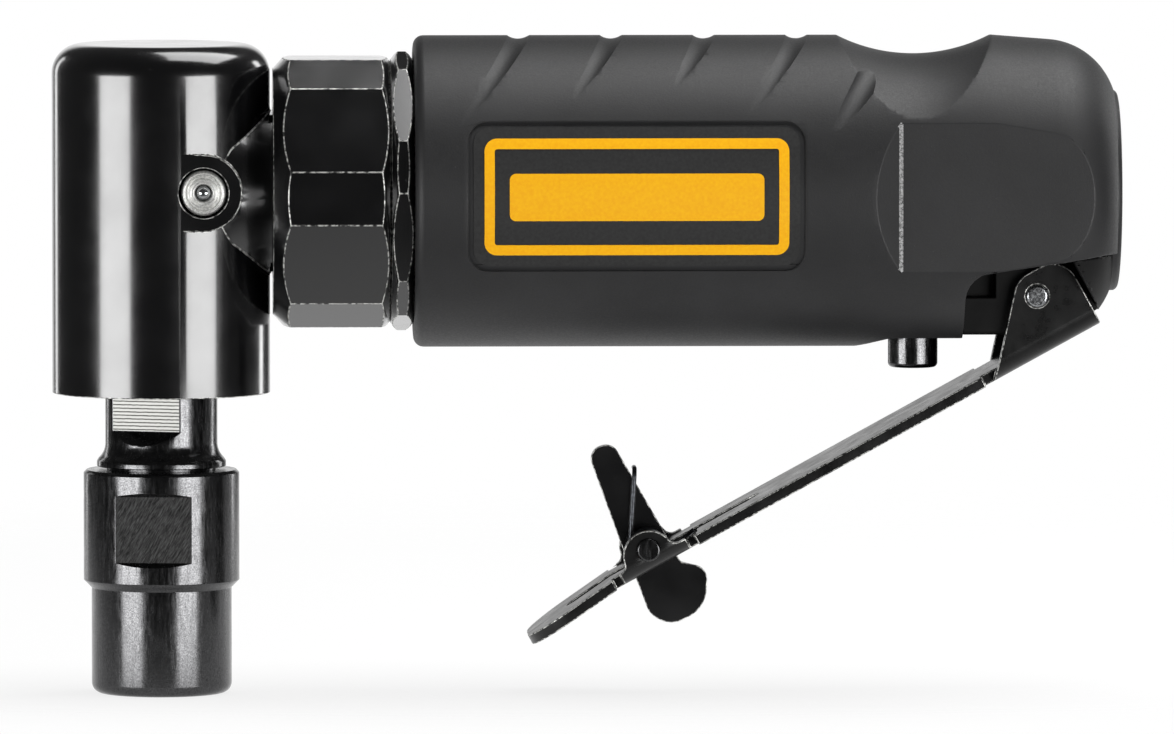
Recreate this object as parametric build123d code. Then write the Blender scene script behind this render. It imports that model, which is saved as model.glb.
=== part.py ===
from build123d import *
from math import atan, ceil, cos, degrees, hypot, pi, radians, sin, sqrt, tan
import os

# Right-angle air die grinder, in millimetres. The origin is the centre of the collet mouth.
# +Z runs up the spindle into the tool, +X runs back along the motor to the air inlet.

# Clearances
RUN = 0.05            # radial gap of a shaft that turns in its bearing
SEAT = 0.05           # radial gap of a fixed piece in its seat
FREE = 0.3            # gap between pieces that move past each other

# Collet and collet nut
COLLET_BORE = 6.35
COLLET_SLOTS = 4
COLLET_SLOT_WIDTH = 0.9
COLLET_LENGTH = 25.5
COLLET_NOSE_RADIUS = 4.6
COLLET_BODY_RADIUS = 5.5
COLLET_TAIL_RADIUS = 4.5
NUT_RADIUS = 10.0
NUT_HEIGHT = 28.8
NUT_NOSE_RADIUS = 9.0
NUT_NOSE_HEIGHT = 13.6
NUT_NOSE_ROUND = 1.4
NUT_TOP_CHAMFER = 0.4
NUT_FLATS = 17.4
NUT_FLAT_LENGTH = 8.5
NUT_FLAT_BELOW_TOP = 3.0
NUT_FLAT_FLARE = 0.4
NUT_TURN = 7.0
NUT_PUSH_CONE_LOW = 2.0
NUT_PUSH_CONE_HIGH = 4.7

# Spindle
SPINDLE_RADIUS = 7.2
SPINDLE_THREAD_RADIUS = 7.0
SPINDLE_FLATS = 11.0
SPINDLE_FLAT_RISE = 3.6
SPINDLE_TURN = 21.0
COLLAR_RADIUS = 8.3
COLLAR_HEIGHT = 1.1
FLARE_RADIUS = 8.05
FLARE_HEIGHT = 2.0
NECK_SHOWN = 8.4
GEAR_SEAT_RADIUS = 4.0
JOURNAL_RADIUS = 3.0

# Angle head
HEAD_RADIUS = 14.0
HEAD_HEIGHT = 44.8
HEAD_TOP_ROUND = 3.75
AXIS_ABOVE_HEAD_BOTTOM = 25.8
HEAD_TOP_WALL = 5.0
HEAD_CAVITY_RADIUS = 10.0
NECK_RADIUS = 10.5
NECK_ROOT_RADIUS = 12.3
NECK_CONE_LENGTH = 5.0
NECK_LENGTH = 10.6
BOSS_RADIUS = 4.9
BOSS_X = 5.4
BOSS_RISE = 0.5
BOSS_FACE_Y = -13.75
FITTING_RADIUS = 2.9
FITTING_LENGTH = 4.2
FITTING_RECESS = 0.35
FITTING_HOLE_RADIUS = 1.0

# Bearings: bore radius is taken from the shaft
LOWER_BEARING_RADIUS = 11.0
LOWER_BEARING_WIDTH = 6.0
LOWER_BEARING_BORE = 5.0
UPPER_BEARING_RADIUS = 6.5
UPPER_BEARING_WIDTH = 5.0
PINION_BEARING_RADIUS = 8.0
PINION_BEARING_WIDTH = 5.0
PINION_BEARING_SPACE = 2.5
ROTOR_BEARING_RADIUS = 9.5
ROTOR_BEARING_WIDTH = 6.0
SHIELD_RECESS = 0.35
RETAINER_HEIGHT = 3.5
RETAINER_INSET = 0.25

# Bevel gears, straight teeth, apex where the two axes cross
GEAR_MODULE = 1.0
PINION_TEETH = 12
GEAR_TEETH = 17
TOOTH_FACE = 4.0
PRESSURE_ANGLE = 20.0
PINION_ADDENDUM = 1.1
GEAR_ADDENDUM = 0.75
ROOT_CLEARANCE = 0.25
BACKLASH = 0.16
PINION_HUB_RADIUS = 4.2
GEAR_HUB_RADIUS = 6.2
GEAR_BACK = 1.6
KEY_WIDTH = 2.0
KEY_HEIGHT = 2.4
KEY_LENGTH = 6.0
RING_THICKNESS = 1.0

# Coupling nut, neck ring and clamp nut
HEX_FLATS = 34.3
HEX_CORNERS = 35.68
NUT_TO_HEAD = 0.3
COUPLING_LENGTH = 15.1
COUPLING_FRONT_CHAMFER = (2.2, 2.4)
COUPLING_REAR_CHAMFER = (1.2, 1.5)
COUPLING_SHOULDER = 3.7
NECK_RING_WIDTH = 1.5
NECK_RING_DEPTH = 0.6
NECK_RING_RADIUS = 12.8
CLAMP_NOSE_RADIUS = 13.2
CLAMP_FLANGE = 2.9
CLAMP_FLANGE_CHAMFER = (0.9, 1.3)
CLAMP_TURN = 13.0
CLAMP_THREAD_LENGTH = 8.7
CLAMP_BORE_RADIUS = 7.0

# Motor, fitted into the grip sleeve from the outside in
HOUSING_FIT = 0.1
HOUSING_WALL = 2.6
HOUSING_TAIL_CHAMFER = 2.5
END_PLATE = 8.0
CYLINDER_LENGTH = 28.0
CYLINDER_WALL = 2.7
CYLINDER_OFFSET = 1.3
ROTOR_GAP = 0.1
ROTOR_END_GAP = 0.15
ROTOR_JOURNAL_RADIUS = 3.5
BLADE_COUNT = 5
BLADE_WIDTH = 1.6
BLADE_HEIGHT = 4.2
DRIVE_SQUARE = 3.2
DRIVE_LENGTH = 8.0
DOWEL_RADIUS = 1.0
GASKET = 0.8
EXHAUST_PORT_WIDTH = 2.0

# Grip sleeve
SLEEVE_RADIUS = 20.0
SLEEVE_LENGTH = 90.75
SLEEVE_GAP = 0.05
SLEEVE_WALL = 3.1
SLEEVE_FRONT_ROUND = 1.3
SLEEVE_TAIL_DROP = 0.6
SLEEVE_TAIL_LENGTH = 9.0
SLEEVE_END_RADIUS = 11.8
# Middle of the tail's round, as shares of its length and of its height
SLEEVE_TAIL_ROUND = (0.66, 0.68)
SLEEVE_END_CROWN = 0.5
SCOOP_X = 96.6
SCOOP_LENGTH = 19.8
SCOOP_DEPTH = 2.4
SCOOP_AXIS_DROP = 5.9
BELLY_DEPTH = 1.4
BELLY_FRONT = 93.4
BELLY_RAMP = 4.7
BELLY_LENGTH = 12.0
SIDE_FLAT_DEPTH = 2.4
SIDE_FLAT_FRONT = 94.2
SIDE_FLAT_RAMP = 3.2
GROOVE_FIRST_X = 46.3
GROOVE_PITCH = 11.9
GROOVE_SLANT = 34.0
GROOVE_RADIUS = 2.4
GROOVE_TOP_DEPTH = 0.3
# Each groove: height of its lower end, extra depth in the scoop, shift of its ring up the slant
GROOVES = ((10.8, 0.0, 6.5), (14.6, 0.0, 7.4), (16.0, 0.0, 7.8), (12.2, 0.0, 6.9), (10.5, 2.0, 2.6))
LABEL_X = 60.5
LABEL_LENGTH = 43.0
LABEL_HEIGHT = 19.0
LABEL_CORNER = 2.5
LABEL_DEPTH = 0.4

# Lever pocket and lug, each rise counted up from the underside of the sleeve
POCKET_FRONT = 102.6
POCKET_ROUND_X = 106.2
POCKET_ROUND_RISE = 10.4
POCKET_REAR_X = 120.35
POCKET_REAR_RISE = 12.4
LUG_RISE = 1.8
LUG_NARROWING = 1.9
LUG_LEDGE_RISE = 6.6
LUG_LEDGE_REAR = 106.8
REAR_WALL_RISE = 4.5
REAR_WALL_INSET = 0.5
REAR_WALL_GAP = 0.1

# Throttle lever, measured along the strip (s, towards the tip) and square to it (n, outwards)
LEVER_PIN_X = 112.1
LEVER_PIN_RISE = 6.9
LEVER_PIN_RADIUS = 1.45
LEVER_SLOPE = 28.8
LEVER_TRAVEL = 23.0
LEVER_WIDTH = 18.0
LEVER_SHEET = 1.4
LEVER_OFFSET = 5.7
LEVER_REAR = 5.5
LEVER_TIP = 78.2
LEVER_TIP_BEND_LENGTH = 13.0
LEVER_TIP_BEND = 6.0
LEVER_TIP_ROUND = 6.3
LEVER_BEND_RADIUS = 2.4
EAR_TOP = 3.1
EAR_ROUND = 3.4
EAR_FRONT = 10.1
EAR_RELIEF = 1.2
SLOT_START = 43.5
SLOT_END = 72.0
SLOT_WIDTH = 3.4

# Safety latch on the lever
LATCH_PIN_S = 59.25
LATCH_PIN_N = 4.5
LATCH_PIN_RADIUS = 1.1
LATCH_PIN_HEAD_RADIUS = 1.5
LATCH_PIN_HEAD = 0.5
LATCH_SHEET = 1.6
LATCH_EAR_HALF_LENGTH = 4.8
LATCH_EAR_ROUND = 3.3
LATCH_EAR_FLARE = 1.1
LATCH_EAR_FOOT = 0.2
# Middle of the latch ear's round from the latch pin, (s, n)
LATCH_EAR_SHIFT = (0.35, 0.75)
LATCH_ARM_LENGTH = 14.2
LATCH_TIP_ROUND = 1.7
# Corners of the latch plate from its pivot, (x, z) at rest
LATCH_HEEL = (-3.1, -0.4)
LATCH_SHOULDER = (2.2, 1.8)
LATCH_ELBOW = (4.4, -2.2)
LATCH_THROAT = (-1.0, -5.2)
# Corners of the latch's lobe from its pivot, (x, z) at rest, each with its round
LATCH_LOBE = (((7.9, -3.0), 1.9), ((7.6, -8.2), 4.2), ((3.2, -10.4), 3.2), ((0.4, -9.0), 3.0))
SPRING_WIRE = 0.6
SPRING_COIL_RADIUS = 2.1
SPRING_PITCH = 1.3
SPRING_TURNS = 4
SPRING_LEG = 6.0
SPRING_LEG_LIFT = 12.0
SPRING_ARM_ANGLE = 176.8
SPRING_SIDE_GAP = 0.25

# Throttle plunger and valve, each rise counted up from the underside of the sleeve
PLUNGER_X = 96.6
PLUNGER_RADIUS = 3.2
PLUNGER_SHOWN = 2.75
PLUNGER_PRESSED_GAP = 0.2
PLUNGER_ROUND = 0.6
PLUNGER_TIP_RADIUS = 2.0
VALVE_BORE_RADIUS = 5.0
BUSHING_RISE = 2.4
BUSHING_HEIGHT = 6.2
SEAT_RISE = 10.0
SEAT_HEIGHT = 3.0
SEAT_HOLE_RADIUS = 2.8
BALL_RADIUS = 3.6
PLUG_INSET = 7.8
PLUG_HEIGHT = 6.5
VALVE_WIRE = 0.7
VALVE_COIL_RADIUS = 2.6
VALVE_TURNS = 4
ORING_SECTION = 0.6

# Air inlet and exhaust
INLET_RADIUS = 8.0
INLET_BUSHING_LENGTH = 13.7
INLET_THREAD_RADIUS = 5.6
INLET_THREAD_LENGTH = 12.0
INLET_PASSAGE_RADIUS = 4.4
INLET_RING_SECTION = 0.7
SCREEN = 0.8
SCREEN_RADIUS = 5.0
SCREEN_HOLE_RADIUS = 0.8
MUFFLER = 1.7
EXHAUST_COVER_RADIUS = 12.9
EXHAUST_COVER = 2.6
EXHAUST_SLOTS = 7
EXHAUST_SLOT_WIDTH = 1.8

# Heights along the spindle, worked out upwards
COLLAR_BOTTOM = NUT_HEIGHT + 0.4
COLLAR_TOP = COLLAR_BOTTOM + COLLAR_HEIGHT
HEAD_BOTTOM = COLLAR_TOP + NECK_SHOWN
HEAD_TOP = HEAD_BOTTOM + HEAD_HEIGHT
MOTOR_Z = HEAD_BOTTOM + AXIS_ABOVE_HEAD_BOTTOM
LOWER_BEARING_Z = HEAD_BOTTOM + RETAINER_INSET + RETAINER_HEIGHT
GEAR_HUB_Z = LOWER_BEARING_Z + LOWER_BEARING_WIDTH
UPPER_BEARING_TOP = HEAD_TOP - HEAD_TOP_WALL
UPPER_BEARING_Z = UPPER_BEARING_TOP - UPPER_BEARING_WIDTH

# Bevel pair
PINION_PITCH_RADIUS = GEAR_MODULE * PINION_TEETH / 2
GEAR_PITCH_RADIUS = GEAR_MODULE * GEAR_TEETH / 2
CONE_DISTANCE = hypot(PINION_PITCH_RADIUS, GEAR_PITCH_RADIUS)
TOE_SCALE = (CONE_DISTANCE - TOOTH_FACE) / CONE_DISTANCE
PINION_CONE = atan(PINION_TEETH / GEAR_TEETH)
GEAR_CONE = pi / 2 - PINION_CONE
PINION_DEDENDUM = GEAR_ADDENDUM + ROOT_CLEARANCE
GEAR_DEDENDUM = PINION_ADDENDUM + ROOT_CLEARANCE
GEAR_TOP_DEPTH = TOE_SCALE * (PINION_PITCH_RADIUS + GEAR_DEDENDUM * sin(GEAR_CONE))
GEAR_TOP_Z = MOTOR_Z - GEAR_TOP_DEPTH

# Radii about the motor axis, worked out inwards
SLEEVE_TAIL_RADIUS = SLEEVE_RADIUS - SLEEVE_TAIL_DROP
SLEEVE_BORE_RADIUS = SLEEVE_RADIUS - SLEEVE_WALL
HOUSING_RADIUS = SLEEVE_BORE_RADIUS - HOUSING_FIT
MOTOR_RADIUS = HOUSING_RADIUS - HOUSING_WALL
CYLINDER_BORE_RADIUS = MOTOR_RADIUS - CYLINDER_WALL
ROTOR_RADIUS = CYLINDER_BORE_RADIUS - CYLINDER_OFFSET - ROTOR_GAP

# Heights of the lever pocket and the valve, from the motor axis
POCKET_ROUND_TOP = (POCKET_ROUND_X, POCKET_ROUND_RISE - SLEEVE_RADIUS)
POCKET_REAR_TOP = (POCKET_REAR_X, POCKET_REAR_RISE - SLEEVE_RADIUS)
LUG_BOTTOM = LUG_RISE - SLEEVE_RADIUS
LUG_LEDGE = LUG_LEDGE_RISE - SLEEVE_RADIUS
REAR_WALL_BOTTOM = REAR_WALL_RISE - SLEEVE_RADIUS
LEVER_PIN_DROP = SLEEVE_RADIUS - LEVER_PIN_RISE
PLUNGER_BOTTOM = -SLEEVE_RADIUS - PLUNGER_SHOWN
BUSHING_BOTTOM = BUSHING_RISE - SLEEVE_RADIUS
BUSHING_TOP = BUSHING_BOTTOM + BUSHING_HEIGHT
SEAT_BOTTOM = SEAT_RISE - SLEEVE_RADIUS
PLUG_BOTTOM = HOUSING_RADIUS - PLUG_INSET

# Stations along the motor axis, worked out towards the rear
PINION_BACK_X = GEAR_PITCH_RADIUS + PINION_DEDENDUM * sin(PINION_CONE) + 1.0
FRONT_BEARING_X = PINION_BACK_X + 1.6
REAR_BEARING_X = FRONT_BEARING_X + PINION_BEARING_WIDTH + PINION_BEARING_SPACE
REAR_BEARING_END = REAR_BEARING_X + PINION_BEARING_WIDTH
NECK_END = HEAD_RADIUS + NECK_LENGTH
COUPLING_X = HEAD_RADIUS + NUT_TO_HEAD
COUPLING_END = COUPLING_X + COUPLING_LENGTH
NECK_RING_X = COUPLING_X + COUPLING_SHOULDER
CLAMP_NOSE_X = NECK_RING_X + NECK_RING_WIDTH + 0.6
FLANGE_END = COUPLING_END + CLAMP_FLANGE
SLEEVE_X = FLANGE_END + SLEEVE_GAP
SLEEVE_END = SLEEVE_X + SLEEVE_LENGTH
FRONT_PLATE_X = FLANGE_END + CLAMP_THREAD_LENGTH
CYLINDER_X = FRONT_PLATE_X + END_PLATE
REAR_PLATE_X = CYLINDER_X + CYLINDER_LENGTH
REAR_PLATE_END = REAR_PLATE_X + END_PLATE
BULKHEAD_X = REAR_PLATE_END + GASKET
COVER_END = SLEEVE_END - 0.3
COVER_X = COVER_END - EXHAUST_COVER
MUFFLER_X = COVER_X - MUFFLER
HOUSING_END = MUFFLER_X - 0.05
INLET_END = SLEEVE_END - 0.2
INLET_X = INLET_END - INLET_BUSHING_LENGTH
LEVER_PIN_Z = MOTOR_Z - LEVER_PIN_DROP
EAR_INSIDE = LEVER_WIDTH / 2 - LEVER_SHEET
LUG_HALF_WIDTH = EAR_INSIDE - FREE
PRESSED_SLOPE = radians(LEVER_SLOPE - LEVER_TRAVEL)
PRESSED_RUN = LEVER_PIN_X - PLUNGER_X - PLUNGER_RADIUS + LEVER_OFFSET * sin(PRESSED_SLOPE)
PRESSED_STRIP = -LEVER_PIN_DROP - PRESSED_RUN * tan(PRESSED_SLOPE) - LEVER_OFFSET * cos(PRESSED_SLOPE)
PLUNGER_TRAVEL = PRESSED_STRIP + PLUNGER_PRESSED_GAP - PLUNGER_BOTTOM
MOTOR_AXIS = Axis((0, 0, MOTOR_Z), (1, 0, 0))


def outline_xz(points):
    """Flat face in the plane y = 0 through (x, z) points."""
    return make_face(Polyline(*[(x, 0, z) for x, z in points], close=True))


def from_axis(points):
    """The same points with z counted from the motor axis."""
    return [(x, MOTOR_Z + rise) for x, rise in points]


def turned_x(points):
    """Solid turned about the motor axis from (x, radius) points."""
    return revolve(outline_xz(from_axis(points)), MOTOR_AXIS, 360)


def turned_z(points):
    """Solid turned about the spindle axis from (radius, z) points."""
    return revolve(outline_xz(points), Axis.Z, 360)


def ring_x(x, width, outer, inner):
    """Plain ring along the motor axis."""
    return turned_x([(x, inner), (x + width, inner), (x + width, outer), (x, outer)])


def rod_x(x, end, radius):
    """Plain round bar along the motor axis."""
    return turned_x([(x, 0), (end, 0), (end, radius), (x, radius)])


def plate_y(points, low, high):
    """Plate with an (x, z) outline, from y = low to y = high."""
    return Pos(0, low, 0) * extrude(outline_xz(points), high - low, dir=(0, 1, 0))


def rod_y(x, z, low, high, radius):
    """Round bar across the tool."""
    bar = Cylinder(radius, high - low, align=(Align.CENTER, Align.CENTER, Align.MIN))
    return Pos(x, low, z) * Rot(-90, 0, 0) * bar


def rod_z(x, low, high, radius):
    """Upright round bar, heights from the motor axis."""
    bar = Cylinder(radius, high - low, align=(Align.CENTER, Align.CENTER, Align.MIN))
    return Pos(x, 0, MOTOR_Z + low) * bar


def oring(plane, radius, section):
    """Rubber ring with a round section."""
    return plane * Torus(radius, section)


def bearing_profile(start, width, outer, inner):
    """Half section of a shielded ball bearing: (along, radius) points."""
    wall = 0.28 * (outer - inner)
    end = start + width
    low = start + SHIELD_RECESS
    high = end - SHIELD_RECESS
    return [(start, inner), (end, inner), (end, inner + wall), (high, inner + wall), (high, outer - wall),
            (end, outer - wall), (end, outer), (start, outer), (start, outer - wall), (low, outer - wall),
            (low, inner + wall), (start, inner + wall)]


def bearing_x(x, width, outer, shaft):
    """Ball bearing on the motor axis, in its seat and round its shaft."""
    return turned_x(bearing_profile(x, width, outer - SEAT, shaft + RUN))


def bearing_z(z, width, outer, shaft):
    """Ball bearing on the spindle axis."""
    return turned_z([(r, along) for along, r in bearing_profile(z, width, outer - SEAT, shaft + RUN)])


# Collet, collet nut and spindle

def make_collet():
    """Spring collet: double cone with a cylindrical bore, slit from the mouth."""
    body = turned_z([(0, 0), (COLLET_NOSE_RADIUS, 0), (COLLET_NOSE_RADIUS, NUT_PUSH_CONE_LOW),
                     (COLLET_BODY_RADIUS, NUT_PUSH_CONE_HIGH), (COLLET_BODY_RADIUS, NUT_NOSE_HEIGHT),
                     (COLLET_TAIL_RADIUS, COLLET_LENGTH), (0, COLLET_LENGTH)])
    body -= Cylinder(COLLET_BORE / 2, 3 * COLLET_LENGTH)
    slit_height = 0.8 * COLLET_LENGTH
    slit = Box(COLLET_BODY_RADIUS + 1, COLLET_SLOT_WIDTH, slit_height,
               align=(Align.MIN, Align.CENTER, Align.MIN))
    for index in range(COLLET_SLOTS):
        body -= Rot(0, 0, 45 + 360 / COLLET_SLOTS * index) * Pos(1, 0, 0) * slit
    return body


def taper_clearance(radius):
    return radius + SEAT


def flat_cutter(across, bottom, top, low_run, high_run, turn):
    """Pair of wrench-flat cutters, with sloped ends that run out by the given lengths."""
    depth = across / 2
    reach = 3.0
    points = [(depth, bottom), (depth + reach, bottom - low_run * reach),
              (depth + reach, top + high_run * reach), (depth, top)]
    cutter = plate_y(points, -2 * NUT_RADIUS, 2 * NUT_RADIUS)
    facing = -90 - turn
    return Rot(0, 0, facing) * cutter + Rot(0, 0, facing + 180) * cutter


def make_collet_nut():
    """Round nut that draws the collet into the spindle taper."""
    step = NUT_RADIUS - NUT_NOSE_RADIUS
    cone_gap = 0.15
    nut = turned_z([
        (COLLET_NOSE_RADIUS + FREE, 0), (NUT_NOSE_RADIUS, 0),
        (NUT_NOSE_RADIUS, NUT_NOSE_HEIGHT), (NUT_RADIUS, NUT_NOSE_HEIGHT + step),
        (NUT_RADIUS, NUT_HEIGHT - NUT_TOP_CHAMFER), (NUT_RADIUS - NUT_TOP_CHAMFER, NUT_HEIGHT),
        (SPINDLE_THREAD_RADIUS + RUN, NUT_HEIGHT), (SPINDLE_THREAD_RADIUS + RUN, NUT_NOSE_HEIGHT - FREE),
        (COLLET_BODY_RADIUS + FREE, NUT_NOSE_HEIGHT - FREE),
        (COLLET_BODY_RADIUS + FREE, NUT_PUSH_CONE_HIGH - cone_gap),
        (COLLET_NOSE_RADIUS + FREE, NUT_PUSH_CONE_LOW - cone_gap)])
    rim = nut.edges().filter_by(GeomType.CIRCLE).group_by(Axis.Z)[0].sort_by(SortBy.RADIUS)[-1]
    nut = fillet(rim, NUT_NOSE_ROUND)
    flat_top = NUT_HEIGHT - NUT_FLAT_BELOW_TOP
    return nut - flat_cutter(NUT_FLATS, flat_top - NUT_FLAT_LENGTH, flat_top,
                             NUT_FLAT_FLARE, NUT_FLAT_FLARE, NUT_TURN)


def make_spindle():
    """Spindle: taper nose, collar, wrench flats, bearing seats and gear seat."""
    taper_end = COLLET_LENGTH + 1.5
    nose = Polyline((0, 0, taper_end), (taper_clearance(COLLET_TAIL_RADIUS), 0, taper_end),
                    (taper_clearance(COLLET_TAIL_RADIUS), 0, COLLET_LENGTH),
                    (taper_clearance(COLLET_BODY_RADIUS), 0, NUT_NOSE_HEIGHT),
                    (SPINDLE_THREAD_RADIUS, 0, NUT_NOSE_HEIGHT), (SPINDLE_THREAD_RADIUS, 0, COLLAR_BOTTOM),
                    (COLLAR_RADIUS, 0, COLLAR_BOTTOM), (COLLAR_RADIUS, 0, COLLAR_TOP - 0.4),
                    (FLARE_RADIUS, 0, COLLAR_TOP))
    flare_waist = (SPINDLE_RADIUS + 0.3 * (FLARE_RADIUS - SPINDLE_RADIUS), 0, COLLAR_TOP + 0.4 * FLARE_HEIGHT)
    flare = ThreePointArc((FLARE_RADIUS, 0, COLLAR_TOP), flare_waist,
                          (SPINDLE_RADIUS, 0, COLLAR_TOP + FLARE_HEIGHT))
    stem = Polyline((SPINDLE_RADIUS, 0, COLLAR_TOP + FLARE_HEIGHT), (SPINDLE_RADIUS, 0, LOWER_BEARING_Z),
                    (LOWER_BEARING_BORE, 0, LOWER_BEARING_Z), (LOWER_BEARING_BORE, 0, GEAR_HUB_Z),
                    (GEAR_SEAT_RADIUS, 0, GEAR_HUB_Z), (GEAR_SEAT_RADIUS, 0, GEAR_TOP_Z),
                    (JOURNAL_RADIUS, 0, GEAR_TOP_Z), (JOURNAL_RADIUS, 0, UPPER_BEARING_TOP),
                    (0, 0, UPPER_BEARING_TOP), (0, 0, taper_end))
    spindle = revolve(make_face([nose, flare, stem]), Axis.Z, 360)
    flat_bottom = COLLAR_TOP + SPINDLE_FLAT_RISE
    spindle -= flat_cutter(SPINDLE_FLATS, flat_bottom, HEAD_BOTTOM + 0.9, 1.0, 0.0, SPINDLE_TURN)
    spindle -= ring_groove_z(GEAR_TOP_Z, RING_THICKNESS + 0.1, JOURNAL_RADIUS)
    return spindle - key_block(SEAT)


def ring_groove_z(z, width, shaft):
    """Groove for a retaining ring round an upright shaft."""
    return turned_z([(shaft - 0.4, z), (shaft + 2, z), (shaft + 2, z + width), (shaft - 0.4, z + width)])


def key_block(gap):
    """Parallel key between spindle and gear, grown by a gap for its keyways."""
    block = Box(KEY_WIDTH + 2 * gap, KEY_HEIGHT + 2 * gap, KEY_LENGTH + 2 * gap)
    return Pos(0, GEAR_SEAT_RADIUS, GEAR_HUB_Z + 1 + KEY_LENGTH / 2) * block


def make_gear_key():
    return key_block(0)


def make_gear_ring():
    """Split retaining ring that holds the gear on the spindle."""
    inner = JOURNAL_RADIUS - 0.35
    outer = GEAR_SEAT_RADIUS + 0.2
    z = GEAR_TOP_Z + 0.05
    ring = turned_z([(inner, z), (outer, z), (outer, z + RING_THICKNESS), (inner, z + RING_THICKNESS)])
    return ring - Pos(0, -outer, z) * Box(1.6, 2 * outer, 4 * RING_THICKNESS)


# Bevel gears

def tooth_outline(cone, addendum, dedendum, teeth):
    """Involute tooth on the back cone: (height, half width) points from root to tip."""
    pitch = GEAR_MODULE * teeth / 2 / cos(cone)
    base = pitch * cos(radians(PRESSURE_ANGLE))
    involute_at_pitch = tan(radians(PRESSURE_ANGLE)) - radians(PRESSURE_ANGLE)
    half_angle = (pi * GEAR_MODULE - BACKLASH) / 4 / pitch + involute_at_pitch
    points = []
    for height in (-dedendum - 0.35, -dedendum, -0.4 * dedendum, 0.3 * addendum, addendum):
        radius = pitch + height
        lean = sqrt(max(radius / base, 1.0) ** 2 - 1.0)
        angle = half_angle - (lean - atan(lean))
        points.append((radius * cos(angle) - pitch, radius * sin(angle)))
    return points


def bevel_tooth(cone, addendum, dedendum, teeth):
    """One straight tooth about +Z, its flanks running to the apex at the origin."""
    heel_radius = CONE_DISTANCE * sin(cone)
    heel_depth = CONE_DISTANCE * cos(cone)
    flank = tooth_outline(cone, addendum, dedendum, teeth)
    loop = [(h, w) for h, w in flank] + [(h, -w) for h, w in reversed(flank)]
    heel = [(heel_radius + h * cos(cone), w, heel_depth - h * sin(cone)) for h, w in loop]
    toe = [tuple(TOE_SCALE * value for value in point) for point in heel]
    sections = [make_face(Polyline(*heel, close=True)), make_face(Polyline(*toe, close=True))]
    return loft(sections, ruled=True)


def bevel_blank(cone, dedendum, back, bore, hub_radius, hub_length):
    """Root cone with its back and hub about +Z, apex at the origin."""
    heel_radius = CONE_DISTANCE * sin(cone) - dedendum * cos(cone)
    heel_depth = CONE_DISTANCE * cos(cone) + dedendum * sin(cone)
    back_depth = heel_depth + back
    return turned_z([(bore, TOE_SCALE * heel_depth), (TOE_SCALE * heel_radius, TOE_SCALE * heel_depth),
                     (heel_radius, heel_depth), (heel_radius, heel_depth + 0.4 * back),
                     (hub_radius, back_depth), (hub_radius, back_depth + hub_length),
                     (bore, back_depth + hub_length)])


def with_teeth(blank, tooth, teeth, first):
    copies = [Rot(0, 0, first + 360 / teeth * index) * tooth for index in range(teeth)]
    return blank + copies


def make_bevel_gear():
    """Driven gear below the motor axis, with a space facing the pinion."""
    back_depth = PINION_PITCH_RADIUS + GEAR_DEDENDUM * sin(GEAR_CONE) + GEAR_BACK
    hub_length = MOTOR_Z - GEAR_HUB_Z - back_depth
    blank = bevel_blank(GEAR_CONE, GEAR_DEDENDUM, GEAR_BACK, GEAR_SEAT_RADIUS + SEAT / 2,
                        GEAR_HUB_RADIUS, hub_length)
    tooth = bevel_tooth(GEAR_CONE, GEAR_ADDENDUM, GEAR_DEDENDUM, GEAR_TEETH)
    gear = with_teeth(blank, tooth, GEAR_TEETH, 180 / GEAR_TEETH)
    return Pos(0, 0, MOTOR_Z) * Rot(180, 0, 0) * gear - key_block(SEAT)


def make_bevel_pinion():
    """Driving pinion in one piece with its shaft and square drive end."""
    blank = bevel_blank(PINION_CONE, PINION_DEDENDUM, 1.0, 0, PINION_HUB_RADIUS,
                        FRONT_BEARING_X - PINION_BACK_X)
    tooth = bevel_tooth(PINION_CONE, PINION_ADDENDUM, PINION_DEDENDUM, PINION_TEETH)
    pinion = Pos(0, 0, MOTOR_Z) * Rot(0, 90, 0) * with_teeth(blank, tooth, PINION_TEETH, 0)
    shaft_end = REAR_BEARING_END + 1.6
    pinion += rod_x(FRONT_BEARING_X - 0.5, shaft_end, JOURNAL_RADIUS)
    drive = Box(DRIVE_LENGTH + 1.0, DRIVE_SQUARE, DRIVE_SQUARE, align=(Align.MIN, Align.CENTER, Align.CENTER))
    pinion += Pos(shaft_end - 0.5, 0, MOTOR_Z) * drive
    return pinion - ring_x(REAR_BEARING_END + 0.1, RING_THICKNESS + 0.1, JOURNAL_RADIUS + 2,
                           JOURNAL_RADIUS - 0.4)


def make_pinion_snap_ring():
    ring = ring_x(REAR_BEARING_END + 0.15, RING_THICKNESS, JOURNAL_RADIUS + 1.3, JOURNAL_RADIUS - 0.35)
    slit = Box(4 * RING_THICKNESS, 1.6, 2 * JOURNAL_RADIUS, align=(Align.CENTER, Align.CENTER, Align.MIN))
    return ring - Pos(REAR_BEARING_END + 0.15, 0, MOTOR_Z + 1) * slit


# Angle head and its bearings

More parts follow.
